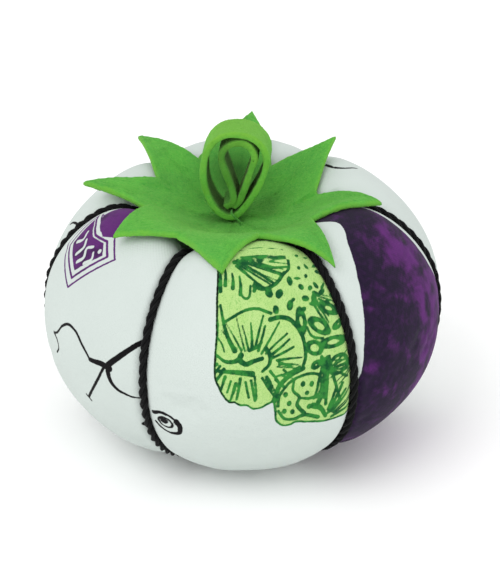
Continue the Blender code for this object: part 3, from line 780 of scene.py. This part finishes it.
# The rear lobes show only the ends of black lines, over the rim.
PRINTS = {
    0: left_print,
    1: front_print,
    2: right_print,
    3: lambda x, y: {"black_ink": lines(x, y, (0.9, 0.6, 9.4, 28.2, 8.1, 26.9, 6.6, 25.4),
                                        (0.9, 0.5, 3.6, 32.6, 1.3, 31.7, -0.1, 30, 0.2, 27))},
    5: lambda x, y: {"black_ink": lines(x, y, (0.8, 0.5, 15.5, 18.8, 13.4, 18.2, 11.8, 17, 11, 15.6))},
}


def printed_areas(index, x, y):
    """Distances in mm to each ink's printed edge, and the brightness of the wash."""
    areas = dict.fromkeys(("patch", "green_ink", "black_ink", "purple"), BLANK)
    areas["brightness"] = 0.0
    return {**areas, **(PRINTS[index](x, y) if index in PRINTS else {})}


def build_cover():
    """Adds the six gores, and returns the points of their outer faces."""
    latitude = latitude_at(np.linspace(PROFILE_LENGTH[0], PROFILE_LENGTH[-1], SIM_ROWS))[:, None]
    share = np.linspace(0, 1, SIM_COLUMNS + 1)[None, :]
    face = -FRAME_CLOTH / 2
    lobes = [gore_surface(index, latitude, share, face) for index in range(6)]
    slack = face + SIM_INSET * np.sin(np.pi * share) * np.ones_like(latitude)
    start = [gore_surface(index, latitude, share, slack) for index in range(6)]
    cap = SIM_INSET + SIM_BULGE * np.clip(2.2 * np.cos(latitude) - 1.2, 0, 1)[..., None]
    lobes = [cap_move(before, after, cap) for before, after in zip(start, simulate_cover(start))]
    material = cotton_finish()
    for index, lobe in enumerate(lobes):
        keep(gore_mesh(index, lobe), GORES[index], material)
    return lobes


def cotton_finish():
    cotton = Finish("printed_cotton")
    point, mix, noise, ramp = cotton.point, cotton.mix, cotton.noise, cotton.ramp
    ragged = cotton.math("MULTIPLY_ADD", noise(point, 1600, 3), 0.24, -0.12)

    def inside(name, softness=0.08):
        return ramp(cotton.math("ADD", cotton.attribute(name), ragged), softness, -softness)

    colour = mix(noise(point, 60, 4), (223, 233, 228), (214, 224, 219))
    blotches = noise(point, 210, 5, 0.56, 0.2)
    blotches = cotton.math("MULTIPLY_ADD", cotton.attribute("brightness"), 0.13, blotches)
    purple = mix(ramp(blotches, 0.44, 0.73), (32, 20, 46), (100, 38, 118))
    purple = mix(ramp(noise(point, 900, 3), 0.4, 0.7, 0.0, 0.25), purple, (74, 32, 92))
    colour = mix(inside("purple"), colour, purple)
    leaf = mix(noise(point, 300, 4), (178, 222, 122), (200, 232, 154))
    scribble = noise(cotton.stretched(cotton.uv, 1.0, 0.55, 1.0), 1.5, 3, 0.6, 1.6)
    scribble = cotton.math("ABSOLUTE", cotton.math("SUBTRACT", scribble, 0.5))
    leaf = mix(ramp(scribble, 0.022, 0.008, 0.0, 0.75), leaf, (112, 184, 84))
    colour = mix(inside("patch"), colour, leaf)
    ink = mix(ramp(noise(point, 520, 3), 0.38, 0.62), (10, 84, 42), (52, 140, 56))
    colour = mix(inside("green_ink"), colour, ink)
    colour = mix(inside("black_ink"), colour, (6, 4, 7))
    # Painted shade in the crease beside each seam's cord.
    seam_shade = ramp(cotton.attribute("seam_distance"), 0.0, 1.2, 0.25, 0.0)
    colour = mix(seam_shade, colour, (120, 122, 122), "MULTIPLY")
    normal = cotton.bump(woven_height(cotton), 0.05 * MM, 0.5)
    normal = cotton.bump(noise(point, 420, 4), 0.12 * MM, 0.5, normal)
    return cotton.finish(colour, 0.9, normal, 0.05)


def woven_height(cotton, pitch=0.32):
    """A plain weave: threads over and under in both directions. UV is in mm."""
    parts = cotton.add("SeparateXYZ", {0: cotton.uv}).outputs
    waves = [cotton.math("SINE", cotton.math("MULTIPLY", parts[axis], math.pi / pitch)) for axis in (0, 1)]
    return cotton.math("MULTIPLY_ADD", cotton.math("MULTIPLY", *waves), 0.5, 0.5)


# ---- Cords and threads


def smooth_path(points, spacing, closed=True):
    """Evenly spaced points along a smooth curve through the given ones."""
    points = np.asarray(points, float)
    if closed:
        points = np.concatenate([points[-3:], points, points[:3]])
    position = np.linspace(0, len(points) - 1, 40 * len(points))
    dense = smooth_values(points, position)
    if closed:
        dense = dense[(position >= 3) & (position <= len(points) - 3)]
    length = distances_along(dense)
    count = max(8, int(length[-1] / spacing))
    wanted = np.linspace(0, length[-1], count, endpoint=not closed)
    return np.stack([np.interp(wanted, length, dense[:, k]) for k in range(3)], axis=1)


def path_ahead(path, closed):
    """Unit vectors along a path, at each of its points."""
    return unit(np.roll(path, -1, axis=0) - np.roll(path, 1, axis=0) if closed else np.gradient(path, axis=0))


def carried_frames(path, closed):
    """Directions along the path and across it at each point, carried along without twist."""
    tangents = path_ahead(path, closed)
    sides = [unit(np.cross(tangents[0], (0.3, 0.5, 0.8)))]
    for tangent in tangents[1:]:
        sides.append(unit(sides[-1] - tangent * np.dot(sides[-1], tangent)))
    return tangents, np.array(sides), np.cross(tangents, sides)


def strand_section(angle):
    """Outline of a bundle of touching round strands, as a share of the bundle's radius."""
    half_turn = math.pi / STRANDS
    offset = 1.06 / (1.0 + math.sin(half_turn))
    local = (angle + half_turn) % (2 * half_turn) - half_turn
    under = np.maximum((1.0 - offset) ** 2 - (offset * np.sin(local)) ** 2, 0.0)
    return offset * np.cos(local) + np.sqrt(under)


def rope(name, points, radius, pitch, sides=24, spacing=None, closed=True, worn=False):
    """A twisted cord along a path, as one closed mesh. A worn one is lumpy and a little rough."""
    path = smooth_path(points, spacing or pitch / 26, closed)
    tangents, side, other = carried_frames(path, closed)
    count = len(path)
    travelled = distances_along(path)
    turns, drift = travelled[-1] / pitch, 0.0
    total = travelled[-1]
    if closed:
        total += np.linalg.norm(path[0] - path[-1])
        carried = side[-1] - tangents[0] * np.dot(side[-1], tangents[0])
        turns, drift = round(total / pitch), math.atan2(np.dot(carried, other[0]), np.dot(carried, side[0]))
    twist = (2 * math.pi * turns - drift) * travelled / total
    around = np.arange(sides) * 2 * math.pi / sides
    section = radius * np.tile(strand_section(around), (count, 1))
    if worn:
        generator = np.random.default_rng(SEED + count)
        lump = 0.5 * pitch
        anchors = generator.uniform(-1, 1, int(total / lump) + 4)
        section *= 1 + CORD_LUMPS * np.interp(travelled / lump, np.arange(len(anchors)), anchors)[:, None]
        wobble = generator.normal(size=(count, 1)) + generator.normal(size=(count, sides)) * 0.8
        kernel = (0.25, 0.5, 0.25)
        section += CORD_ROUGHNESS * np.apply_along_axis(lambda v: np.convolve(v, kernel, "same"), 0, wobble)
    turned = around + twist[:, None]
    ring = (
        path[:, None]
        + side[:, None] * (section * np.cos(turned))[..., None]
        + other[:, None] * (section * np.sin(turned))[..., None]
    )
    cord = new_object(name, ring, tube_faces(count, sides, closed))
    set_uv(cord, np.stack(np.broadcast_arrays(travelled[:, None] / MM, around), axis=-1))
    return cord


def cord_path(index):
    """Up the seam, over the rim, down through the core and back."""
    lengths = PROFILE_LENGTH[PROFILE_RADIUS > CORD_TURN_RADIUS]
    latitude = latitude_at(np.linspace(lengths[0], lengths[-1], 60))
    lift = CORD_SINK + 0.5 * MM * np.abs(np.sin(latitude)) ** 3
    radius, height = section_point(latitude, seam_depth(latitude) - lift)
    foot, top = height[0], height[-1]
    into_core = ((1.9, 0.12), (1.25, 0.55), (1.0, 1.2))
    section = [
        *zip(radius, height),
        *((wide * CORE_RADIUS, top - deep * CORE_DROP) for wide, deep in into_core),
        (CORE_RADIUS, 0.5 * (top + foot)),
        *((wide * CORE_RADIUS, foot + deep * CORE_DROP) for wide, deep in reversed(into_core)),
    ]
    return [polar(r, SEAM_AZIMUTHS[index], h + WAIST_Z) for r, h in section]


def build_cords():
    material = cord_finish()
    for index, node in enumerate(CORDS):
        cord = rope(f"cord_{index + 1}", cord_path(index), CORD_RADIUS, CORD_PITCH, worn=True)
        keep(cord, node, material)


def cord_finish():
    cord = Finish("black_cord")
    fibres = cord.noise(cord.stretched(cord.uv, 0.35, 1.6, 1.0), 9.0, 4, 0.7)
    flecks = cord.ramp(cord.noise(cord.point, 2600, 3), 0.58, 0.78, 0.0, 0.6)
    colour = cord.mix(fibres, (4, 4, 5), (20, 21, 22))
    colour = cord.mix(flecks, colour, (46, 48, 48))
    return cord.finish(colour, 0.85, cord.bump(fibres, 0.14 * MM, 0.9), 0.04)


# ---- Felt


def crown_height_at(radius):
    return crown_line(upper_latitude(radius))[1]


def calyx_middle(x, y, curl):
    radius = np.maximum(np.hypot(x, y), CALYX_FLAT_RADIUS)
    rest = FRAME_CLOTH / 2 + CALYX_SEAT + CALYX_THICKNESS / 2
    return crown_height_at(radius) + rest + curl + WAIST_Z


def flat_point(angle, radius):
    turn = math.radians(angle)
    return np.array([radius * math.cos(turn), radius * math.sin(turn)])


def star_outline():
    """Flat points round the star with slightly bowed, unevenly cut sides, and each one's tip number."""
    draw = np.random.default_rng(SEED).uniform
    outline = []
    for index, (angle, radius) in enumerate(zip(POINT_ANGLES, POINT_RADII)):
        before = flat_point(VALLEY_ANGLES[index - 1], VALLEY_RADII[index - 1])
        tip = flat_point(angle, radius)
        after = flat_point(VALLEY_ANGLES[index], VALLEY_RADII[index])
        for start, end, leaf_bow in ((before, tip, POINT_BOWS[index]), (tip, after, 0.0)):
            along = end - start
            across = unit(np.array([along[1], -along[0]]))
            bow = draw(-0.35, 0.25) * MM + leaf_bow
            wave = draw(-0.25, 0.25) * MM
            share = np.arange(SIDE_STEPS)[:, None] / SIDE_STEPS
            offset = bow * np.sin(np.pi * share) + wave * np.sin(2 * np.pi * share)
            outline.append(start + along * share + across * offset)
    return np.concatenate(outline), np.repeat(np.arange(len(POINT_RADII)), 2 * SIDE_STEPS)


def lift_off_cover(lobes, x, y, underside):
    """How far the calyx has to rise at its points to lie on the lobes, evened out between them."""
    points, faces = [], []
    for index, lobe in enumerate(lobes):
        rows, columns = lobe.shape[:2]
        fine = resample(lobe, np.linspace(0, rows - 1, 3 * rows), np.linspace(0, columns - 1, 3 * columns))
        faces += grid_faces(3 * rows, 3 * columns, start=index * 9 * rows * columns)
        points.append(fine)
    cover = BVHTree.FromPolygons(np.reshape(points, (-1, 3)).tolist(), faces)
    lift = np.zeros(x.shape)
    for place in np.ndindex(x.shape):
        hit = cover.ray_cast((x[place], y[place], OUTER_HIGH.z), (0, 0, -1))[0]
        if hit:
            lift[place] = max(0.0, hit.z + CALYX_GAP - underside[place])
    even = lift
    for _ in range(LIFT_EVENINGS):
        even = 0.25 * np.roll(even, 1, axis=1) + 0.5 * even + 0.25 * np.roll(even, -1, axis=1)
        padded = np.pad(even, ((1, 1), (0, 0)), mode="edge")
        even = 0.25 * padded[:-2] + 0.5 * even + 0.25 * padded[2:]
    return np.maximum(lift, even)


def calyx_rise(outline, owners, radius):
    """How far the calyx stands above the even crown: up at its tips, down where it sags."""
    tip_radius = POINT_RADII[owners]
    reach = np.maximum(radius - CURL_START_RADIUS, 0) / (tip_radius - CURL_START_RADIUS)
    along = np.clip((radius - SAG_START_RADIUS) / (tip_radius - SAG_START_RADIUS), 0, 1)
    turn = np.degrees(np.arctan2(outline[:, 1], outline[:, 0])) % 360
    in_valley = np.exp(-(((turn - LOW_VALLEY_ANGLE) / VALLEY_SAG_ANGLE) ** 2))
    rise = POINT_CURLS[owners] * reach**CURL_POWER - POINT_SAGS[owners] * np.sin(np.pi * along)
    return rise - VALLEY_SAG * in_valley * along


def build_calyx(material, lobes):
    outline, owners = star_outline()
    shares = np.linspace(0, 1, CALYX_RINGS + 1)[1:, None]
    radii = np.linalg.norm(outline, axis=1)
    radius = shares * radii
    x, y = PIVOT.x + shares * outline[:, 0], shares * outline[:, 1]
    edge_distance = (radii - radius) * CALYX_EDGE_SLANT
    round_edge = np.clip(edge_distance / (0.5 * CALYX_THICKNESS), 0, 1)
    half = 0.5 * CALYX_THICKNESS * np.sqrt(1 - (1 - round_edge) ** 2 * CALYX_EDGE_ROUNDING)
    middle = calyx_middle(x, y, calyx_rise(outline, owners, radius))
    middle = middle + lift_off_cover(lobes, x, y, middle - half)
    fuzz = CALYX_FUZZ * np.random.default_rng(SEED).normal(size=(2,) + middle.shape)
    top = np.stack([x, y, middle + half + fuzz[0]], axis=-1)
    bottom = np.stack([x, y, middle - half + fuzz[1]], axis=-1)
    centre_z = float(calyx_middle(PIVOT.x, 0.0, 0.0))
    centres = [(PIVOT.x, 0, centre_z + CALYX_THICKNESS / 2), (PIVOT.x, 0, centre_z - CALYX_THICKNESS / 2)]
    vertices = np.concatenate([top.reshape(-1, 3), bottom.reshape(-1, 3), centres])

    count = len(outline)
    layer = CALYX_RINGS * count
    rim = layer - count
    faces = [face[::-1] for face in grid_faces(CALYX_RINGS, count, close_columns=True)]
    faces += grid_faces(CALYX_RINGS, count, close_columns=True, start=layer)
    for k in range(count):
        after = (k + 1) % count
        faces.append((2 * layer, k, after))
        faces.append((2 * layer + 1, layer + after, layer + k))
        faces.append((rim + after, rim + k, layer + rim + k, layer + rim + after))
    calyx = new_object("calyx", vertices, faces)
    fix_normals(calyx)
    edge = np.concatenate([edge_distance.ravel(), edge_distance.ravel(), [9 * MM] * 2]) / MM
    set_attribute(calyx, "edge_distance", edge)
    # Painted shade on the calyx, behind the stem and beside its foot.
    shade = stem_shade((x - PIVOT.x) / MM, y / MM).ravel()
    set_attribute(calyx, "painted_shade", np.concatenate([shade, shade, [0.2, 0.2]]))
    keep(calyx, "felt_calyx", material)


def stem_shade(x, y):
    """Where the stem keeps the light off the calyx: behind it, at its right and at the left of its foot."""
    return np.maximum.reduce([
        depth * np.exp(-(((x - across) / wide) ** 2) - ((y - back) / long) ** 2)
        for across, back, wide, long, depth in STEM_SHADES
    ])


def outer_loop_path(count):
    """Points (x, z) round the middle of the outer strip, from its foot round by +X."""
    turn = np.linspace(0, 2 * np.pi, count, endpoint=False)
    bulge = np.where(turn < np.pi, RIGHT_BULGE, LEFT_BULGE)
    taper = np.where(turn < np.pi, RIGHT_TAPER, LEFT_TAPER)
    x = bulge * np.sin(turn) * (1 - taper * np.cos(turn))
    z = 0.5 * STEM_HEIGHT * (1 - np.cos(turn))
    outline = np.stack([x, z], axis=1)
    return even_path(outline - path_sides(outline, True) * FELT / 2, count, True)


def inner_strip_path(count):
    """Points (x, z) along the middle of the folded strip: up from its foot, round its head, and down."""
    slope = math.asin((INNER_HEAD_RADIUS - INNER_HALF_SPREAD) / (INNER_HEAD[1] - INNER_NECK[1]))
    turn = np.linspace(-slope, np.pi + slope, 18)
    head = np.stack([np.cos(turn), np.sin(turn)], axis=1) * INNER_HEAD_RADIUS + INNER_HEAD
    spread, leg = (INNER_HALF_SPREAD, 0), np.array([INNER_FOOT, INNER_NECK])
    return even_path(np.concatenate([leg + spread, head, leg[::-1] - spread]), count, False)


def even_path(points, count, closed):
    """The same path as evenly spaced points on a smooth curve."""
    flat = np.insert(points, 1, 0.0, axis=1)
    return smooth_path(flat, distances_along(flat)[-1] / count, closed)[:, [0, 2]]


def path_sides(path, closed):
    """Unit vectors to the right of a path of (x, z) points, at each of them."""
    ahead = path_ahead(path, closed)
    return np.stack([ahead[:, 1], -ahead[:, 0]], axis=1)


def strip_section(width):
    """Outline (across, out) of a felt strip's section, with soft corners and closely spaced points."""
    half_felt, corner = 0.5 * FELT, STRIP_CORNER
    corners = []
    for quarter, (across, out) in enumerate(((1, 1), (-1, 1), (-1, -1), (1, -1))):
        for step in range(5):
            angle = math.radians(90 * quarter + 22.5 * step)
            corners.append((across * (width / 2 - corner) + corner * math.cos(angle),
                            out * (half_felt - corner) + corner * math.sin(angle)))
    corners = np.array(corners)
    section = []
    for here, there in zip(corners, np.roll(corners, -1, axis=0)):
        steps = max(1, int(np.linalg.norm(there - here) / STRIP_SPACING))
        section += [here + (there - here) * step / steps for step in range(steps)]
    return np.array(section)


def felt_strip(name, node, path, closed, strip_shade, material):
    """A strip of felt bent along a path, with soft cut edges and a slight waviness."""
    width = OUTER_HIGH.y - OUTER_LOW.y
    section = strip_section(width)
    across, out = section.T
    count = len(path)
    sides = path_sides(path, closed)
    travel = np.linspace(0, 2 * np.pi, count)
    swell = (1.0 + 0.05 * np.sin(3 * travel) + 0.04 * np.sin(7 * travel))[:, None]
    ring = np.empty((count, len(section), 3))
    ring[..., 1] = across + STRIP_WAVE * np.sin(5 * travel)[:, None]
    ring[..., 0] = path[:, :1] + sides[:, :1] * out * swell + STRIP_YAW * (ring[..., 1] + width / 2)
    ring[..., 2] = path[:, 1:] + sides[:, 1:] * out * swell - PIVOT_HEIGHT
    generator = np.random.default_rng(SEED + len(name))
    ring += STRIP_FUZZ * generator.normal(size=ring.shape) + np.array(PIVOT)
    strip = new_object(name, ring, tube_faces(count, len(section), closed))
    fix_normals(strip)
    edge = (width / 2 - np.abs(across)) / MM
    set_attribute(strip, "edge_distance", np.tile(edge, (count, 1)))
    # Painted shade: the inner faces darken away from the cut edges, and the whole strip darkens by its given
    # share.
    shade = np.where(out < 0, np.clip(edge / 1.6, 0, 1), 0.0)
    set_attribute(strip, "painted_shade", np.maximum(shade, strip_shade[:, None]))
    # Painted top light: the upper part of a strip is lightened, most on its outer faces and least where it is
    # shaded.
    top_light = np.clip((path[:, 1] / STEM_HEIGHT - 0.55) / 0.4, 0, 1) * (1 - strip_shade)
    set_attribute(strip, "painted_top_light", top_light[:, None] * np.where(out > 0, 1.0, 0.3))
    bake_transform(strip)
    keep(strip, node, material, rigid=False)


def build_stem(material):
    outer, inner = outer_loop_path(250), inner_strip_path(190)
    # Painted shade on the folded strip, darker towards its left side.
    left_side = np.clip(0.5 - (inner[:, 0] - INNER_HEAD[0]) / (2 * INNER_HEAD_RADIUS), 0, 1)
    felt_strip("stem_loop", "stem_outer_loop", outer, True, np.zeros(len(outer)), material)
    felt_strip("stem_fold", "stem_inner_loop", inner, False, 0.12 + 0.4 * left_side, material)


def felt_finish():
    felt = Finish("green_felt")
    mix, noise, ramp = felt.mix, felt.noise, felt.ramp
    clumps = noise(felt.point, 420, 4, 0.6, 0.4)
    fibres = noise(felt.stretched(felt.point, 1.0, 2.4, 1.5), 2200, 5, 0.7, 1.2)
    patches = ramp(noise(felt.point, 130, 3), 0.35, 0.65)
    colour = mix(clumps, (54, 158, 52), (102, 206, 78))
    colour = mix(felt.math("MULTIPLY", patches, 0.35), colour, (62, 150, 70))
    colour = mix(ramp(fibres, 0.35, 0.75, 0.0, 0.6), colour, (136, 208, 86))
    colour = mix(ramp(fibres, 0.45, 0.2, 0.0, 0.6), colour, (36, 104, 34))
    # Paler edges: partly the felt's own paler cut edges, partly a painted highlight where the rims catch the
    # light.
    worn = felt.math("MULTIPLY_ADD", clumps, 1.2, felt.attribute("edge_distance"))
    colour = mix(ramp(worn, 1.3, 0.3, 0.0, 0.5), colour, (136, 206, 66))
    # Painted top light on the upper part of the stem.
    colour = mix(felt.math("MULTIPLY", felt.attribute("painted_top_light"), 0.27), colour, (160, 206, 62))
    # Painted shade: the calyx darkens behind and beside the stem, and the stem's inner faces and fold darken
    # too.
    colour = mix(felt.math("MULTIPLY", felt.attribute("painted_shade"), 0.87), colour, (22, 66, 20))
    normal = felt.bump(fibres, 0.16 * MM, 0.9)
    normal = felt.bump(clumps, 0.25 * MM, 0.5, normal)
    return felt.finish(colour, 0.95, normal, 0.35, linear(190, 230, 130))


# ---- Inside


def build_inside():
    """The stuffing, the seam stitching, the tie and its knot."""
    build_stuffing(stuffing_finish())
    white = thread_finish("white_thread", (226, 226, 222), (196, 196, 190))
    for index, node in enumerate(SEAM_THREADS):
        path = seam_thread_path(index)
        thread = rope(f"stitching_{index + 1}", path, THREAD_RADIUS, THREAD_PITCH, 9, 0.22 * MM, closed=False)
        keep(thread, node, white)
    green = thread_finish("green_thread", (88, 172, 60), (72, 150, 52))
    tie = rope("tie", tie_path(), TIE_RADIUS, TIE_PITCH, 12, 0.15 * MM)
    keep(tie, "centre_tie_thread", green)
    low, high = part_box("closing_knot")
    ring = 0.5 * (high.x - low.x) - KNOT_TUBE
    middle = 0.5 * (low.z + high.z)
    turns = np.linspace(0, 360, 24, endpoint=False)
    path = [polar(ring, turn, middle + 0.1 * MM * math.sin(3 * math.radians(turn))) for turn in turns]
    keep(rope("knot", path, KNOT_TUBE, KNOT_PITCH, 30, 0.12 * MM), "closing_knot", green)


def seam_thread_path(index):
    """Stitches that pass from side to side between two allowances."""
    lengths = np.arange(PROFILE_LENGTH[0], PROFILE_LENGTH[-1], STITCH / 4)
    latitude = latitude_at(lengths)
    inset = seam_depth(latitude) + 0.5 * ALLOWANCE * np.cos(latitude) ** 0.5
    radius, height = section_point(latitude, inset)
    sway = np.array([0, 1, 0, -1])[np.arange(len(lengths)) % 4] * STITCH_SWAY
    azimuth = SEAM_AZIMUTHS[index] + np.degrees(sway / radius)
    height = np.maximum(height, FOOT_HEIGHT + 2 * THREAD_RADIUS)
    return polar(radius, azimuth, height + WAIST_Z)


def tie_path():
    """One loop of thread: along under the stem, through the calyx, down the core and back."""
    felt = float(calyx_middle(0.0, TIE_HOLE_Y, 0.0))
    above, below = felt + CALYX_THICKNESS / 2 + 0.6 * MM, felt - CALYX_THICKNESS / 2 - 0.6 * MM
    spread, foot = 0.5 * MM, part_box("centre_tie_thread")[0].z + TIE_RADIUS
    half = [
        (PIVOT.x, 0.5 * TIE_HOLE_Y, PIVOT.z),
        (PIVOT.x, TIE_HOLE_Y - TIE_RADIUS, PIVOT.z),
        (0.5 * PIVOT.x, TIE_HOLE_Y, 0.5 * (PIVOT.z + above)),
        (0.0, TIE_HOLE_Y, above),
        (0.0, TIE_HOLE_Y, below + TIE_RADIUS),
        (0.0, TIE_HOLE_Y - 2 * TIE_RADIUS, below),
        (0.0, 2 * spread, below - 0.6 * MM),
        (0.0, spread, below - 1.5 * MM),
        (0.0, spread, 0.5 * below),
        (0.0, spread, foot + 4.0 * MM),
        (0.0, spread, foot + 1.2 * MM),
        (0.0, 0.6 * spread, foot + 0.1 * MM),
    ]
    return half + [(x, -y, z) for x, y, z in reversed(half)]


def build_stuffing(material):
    """One lump with slots where the allowances stand in it and a bore down its middle."""
    latitude = latitude_at(np.linspace(PROFILE_LENGTH[0], PROFILE_LENGTH[-1], STUFFING_ROWS))[:, None]
    slot_depth = seam_depth(latitude) + ALLOWANCE + SLOT_CLEARANCE
    draw = np.random.default_rng(SEED + 1).uniform
    seam_radius, _ = section_point(latitude, seam_depth(latitude))
    floor_radius, floor_height = section_point(latitude, slot_depth)
    floor_z = np.maximum(floor_height, FOOT_HEIGHT + slot_depth) + WAIST_Z
    edge = np.degrees(SLOT_HALF_WIDTH / floor_radius)
    columns = []
    for index in range(len(GORES)):
        start, end = gore_span(index)
        margin = np.degrees(SLOT_HALF_WIDTH / seam_radius) / (end - start)
        share = margin + (1 - 2 * margin) * np.linspace(0, 1, STUFFING_COLUMNS)
        lumps = STUFFING_INSET + STUFFING_LUMPS * draw(0, 1, (STUFFING_ROWS, STUFFING_COLUMNS))
        columns += [
            polar(floor_radius, start + edge, floor_z),
            gore_surface(index, latitude, share, lumps),
            polar(floor_radius, end - edge, floor_z),
        ]
    outside = np.concatenate(columns, axis=1)
    top, foot = outside[-1, :, 2].min(), outside[0, :, 2].max()
    bore = np.empty((BORE_ROWS, outside.shape[1], 3))
    bore[..., :2] = unit(outside[-1, :, :2]) * (BORE_RADIUS + BORE_LUMPS * draw(0, 1, bore.shape[:2] + (1,)))
    bore[..., 2] = np.linspace(top - 1.2 * MM, foot + 1.2 * MM, BORE_ROWS)[:, None]
    ring = np.concatenate([outside, bore])
    lump = new_object("stuffing", ring, grid_faces(*ring.shape[:2], close_rows=True, close_columns=True))
    fix_normals(lump)
    keep(lump, "filling", material)


def thread_finish(name, light, dark):
    thread = Finish(name)
    twist = thread.noise(thread.stretched(thread.point, 1.0, 1.0, 2.0), 4000, 3)
    return thread.finish(thread.mix(twist, dark, light), 0.6, thread.bump(twist, 0.04 * MM, 0.8), 0.2)


def stuffing_finish():
    stuffing = Finish("stuffing")
    lumps = stuffing.noise(stuffing.point, 260, 5, 0.7, 0.8)
    colour = stuffing.mix(lumps, (206, 202, 190), (240, 238, 230))
    return stuffing.finish(colour, 0.95, stuffing.bump(lumps, 0.5 * MM, 1.0), 0.3)


# ---- Stage, light and camera


CAMERA_ELEVATION = 28.5
CAMERA_ROLL = 1.6
CAMERA_DISTANCE = 0.60
CAMERA_SCALE = 4959.0
IMAGE_HEIGHT = 563
SENSOR = 36.0
AIM_RIGHT = 1.55 * MM
AIM_UP = 3.09 * MM
FLOOR_REACH = 3.0
WORLD_STRENGTH = 0.79 * LIGHT_LEVEL
LIGHTS = (
    ("key", Vector((-0.45, -0.45, 0.75)), 0.7, 2.0 * LIGHT_LEVEL),
    ("fill", Vector((0.7, -0.5, 0.35)), 0.6, 0.8 * LIGHT_LEVEL),
)


def build_camera():
    """The camera looks down at the waist's centre, with the lens shifted to frame the whole object."""
    data = bpy.data.cameras.new("camera")
    data.sensor_width = data.sensor_height = SENSOR
    data.lens = CAMERA_SCALE * SENSOR * CAMERA_DISTANCE / IMAGE_HEIGHT
    data.shift_x, data.shift_y = (aim * CAMERA_SCALE / IMAGE_HEIGHT for aim in (AIM_RIGHT, AIM_UP))
    data.clip_start = 0.01
    camera = bpy.data.objects.new("camera", data)
    elevation, roll = math.radians(CAMERA_ELEVATION), math.radians(CAMERA_ROLL)
    back = Vector((0, -math.cos(elevation), math.sin(elevation)))
    level_right, level_up = Vector((1, 0, 0)), Vector((0, math.sin(elevation), math.cos(elevation)))
    right = level_right * math.cos(roll) - level_up * math.sin(roll)
    up = level_right * math.sin(roll) + level_up * math.cos(roll)
    place = Vector((0, 0, WAIST_Z)) + back * CAMERA_DISTANCE
    camera.matrix_world = Matrix.Translation(place) @ Matrix((right, up, back)).transposed().to_4x4()
    bpy.context.scene.collection.objects.link(camera)
    bpy.context.scene.camera = camera


def build_stage():
    reach = FLOOR_REACH
    corners = (-reach, -reach, 0), (reach, -reach, 0), (reach, reach, 0), (-reach, reach, 0)
    floor = new_object("floor", corners, [range(4)])
    floor.data.materials.append(Finish("pale_floor").finish(linear(252, 252, 252, 1.0), 0.9))
    world = bpy.data.worlds.new("studio")
    bpy.context.scene.world = world
    world.use_nodes = True
    background = world.node_tree.nodes["Background"]
    background.inputs["Color"].default_value = (1, 1, 1, 1)
    background.inputs["Strength"].default_value = WORLD_STRENGTH
    for name, place, size, power in LIGHTS:
        data = bpy.data.lights.new(name, "AREA")
        data.shape, data.size, data.energy = "DISK", size, power
        light = bpy.data.objects.new(name, data)
        light.location = place
        light.rotation_euler = (Vector((0, 0, WAIST_Z)) - place).to_track_quat("-Z", "Y").to_euler()
        bpy.context.scene.collection.objects.link(light)
    bpy.context.scene.view_settings.view_transform = "Standard"


def main():
    lobes = build_cover()
    build_cords()
    felt = felt_finish()
    build_calyx(felt, lobes)
    build_stem(felt)
    build_inside()
    build_stage()
    build_camera()


main()
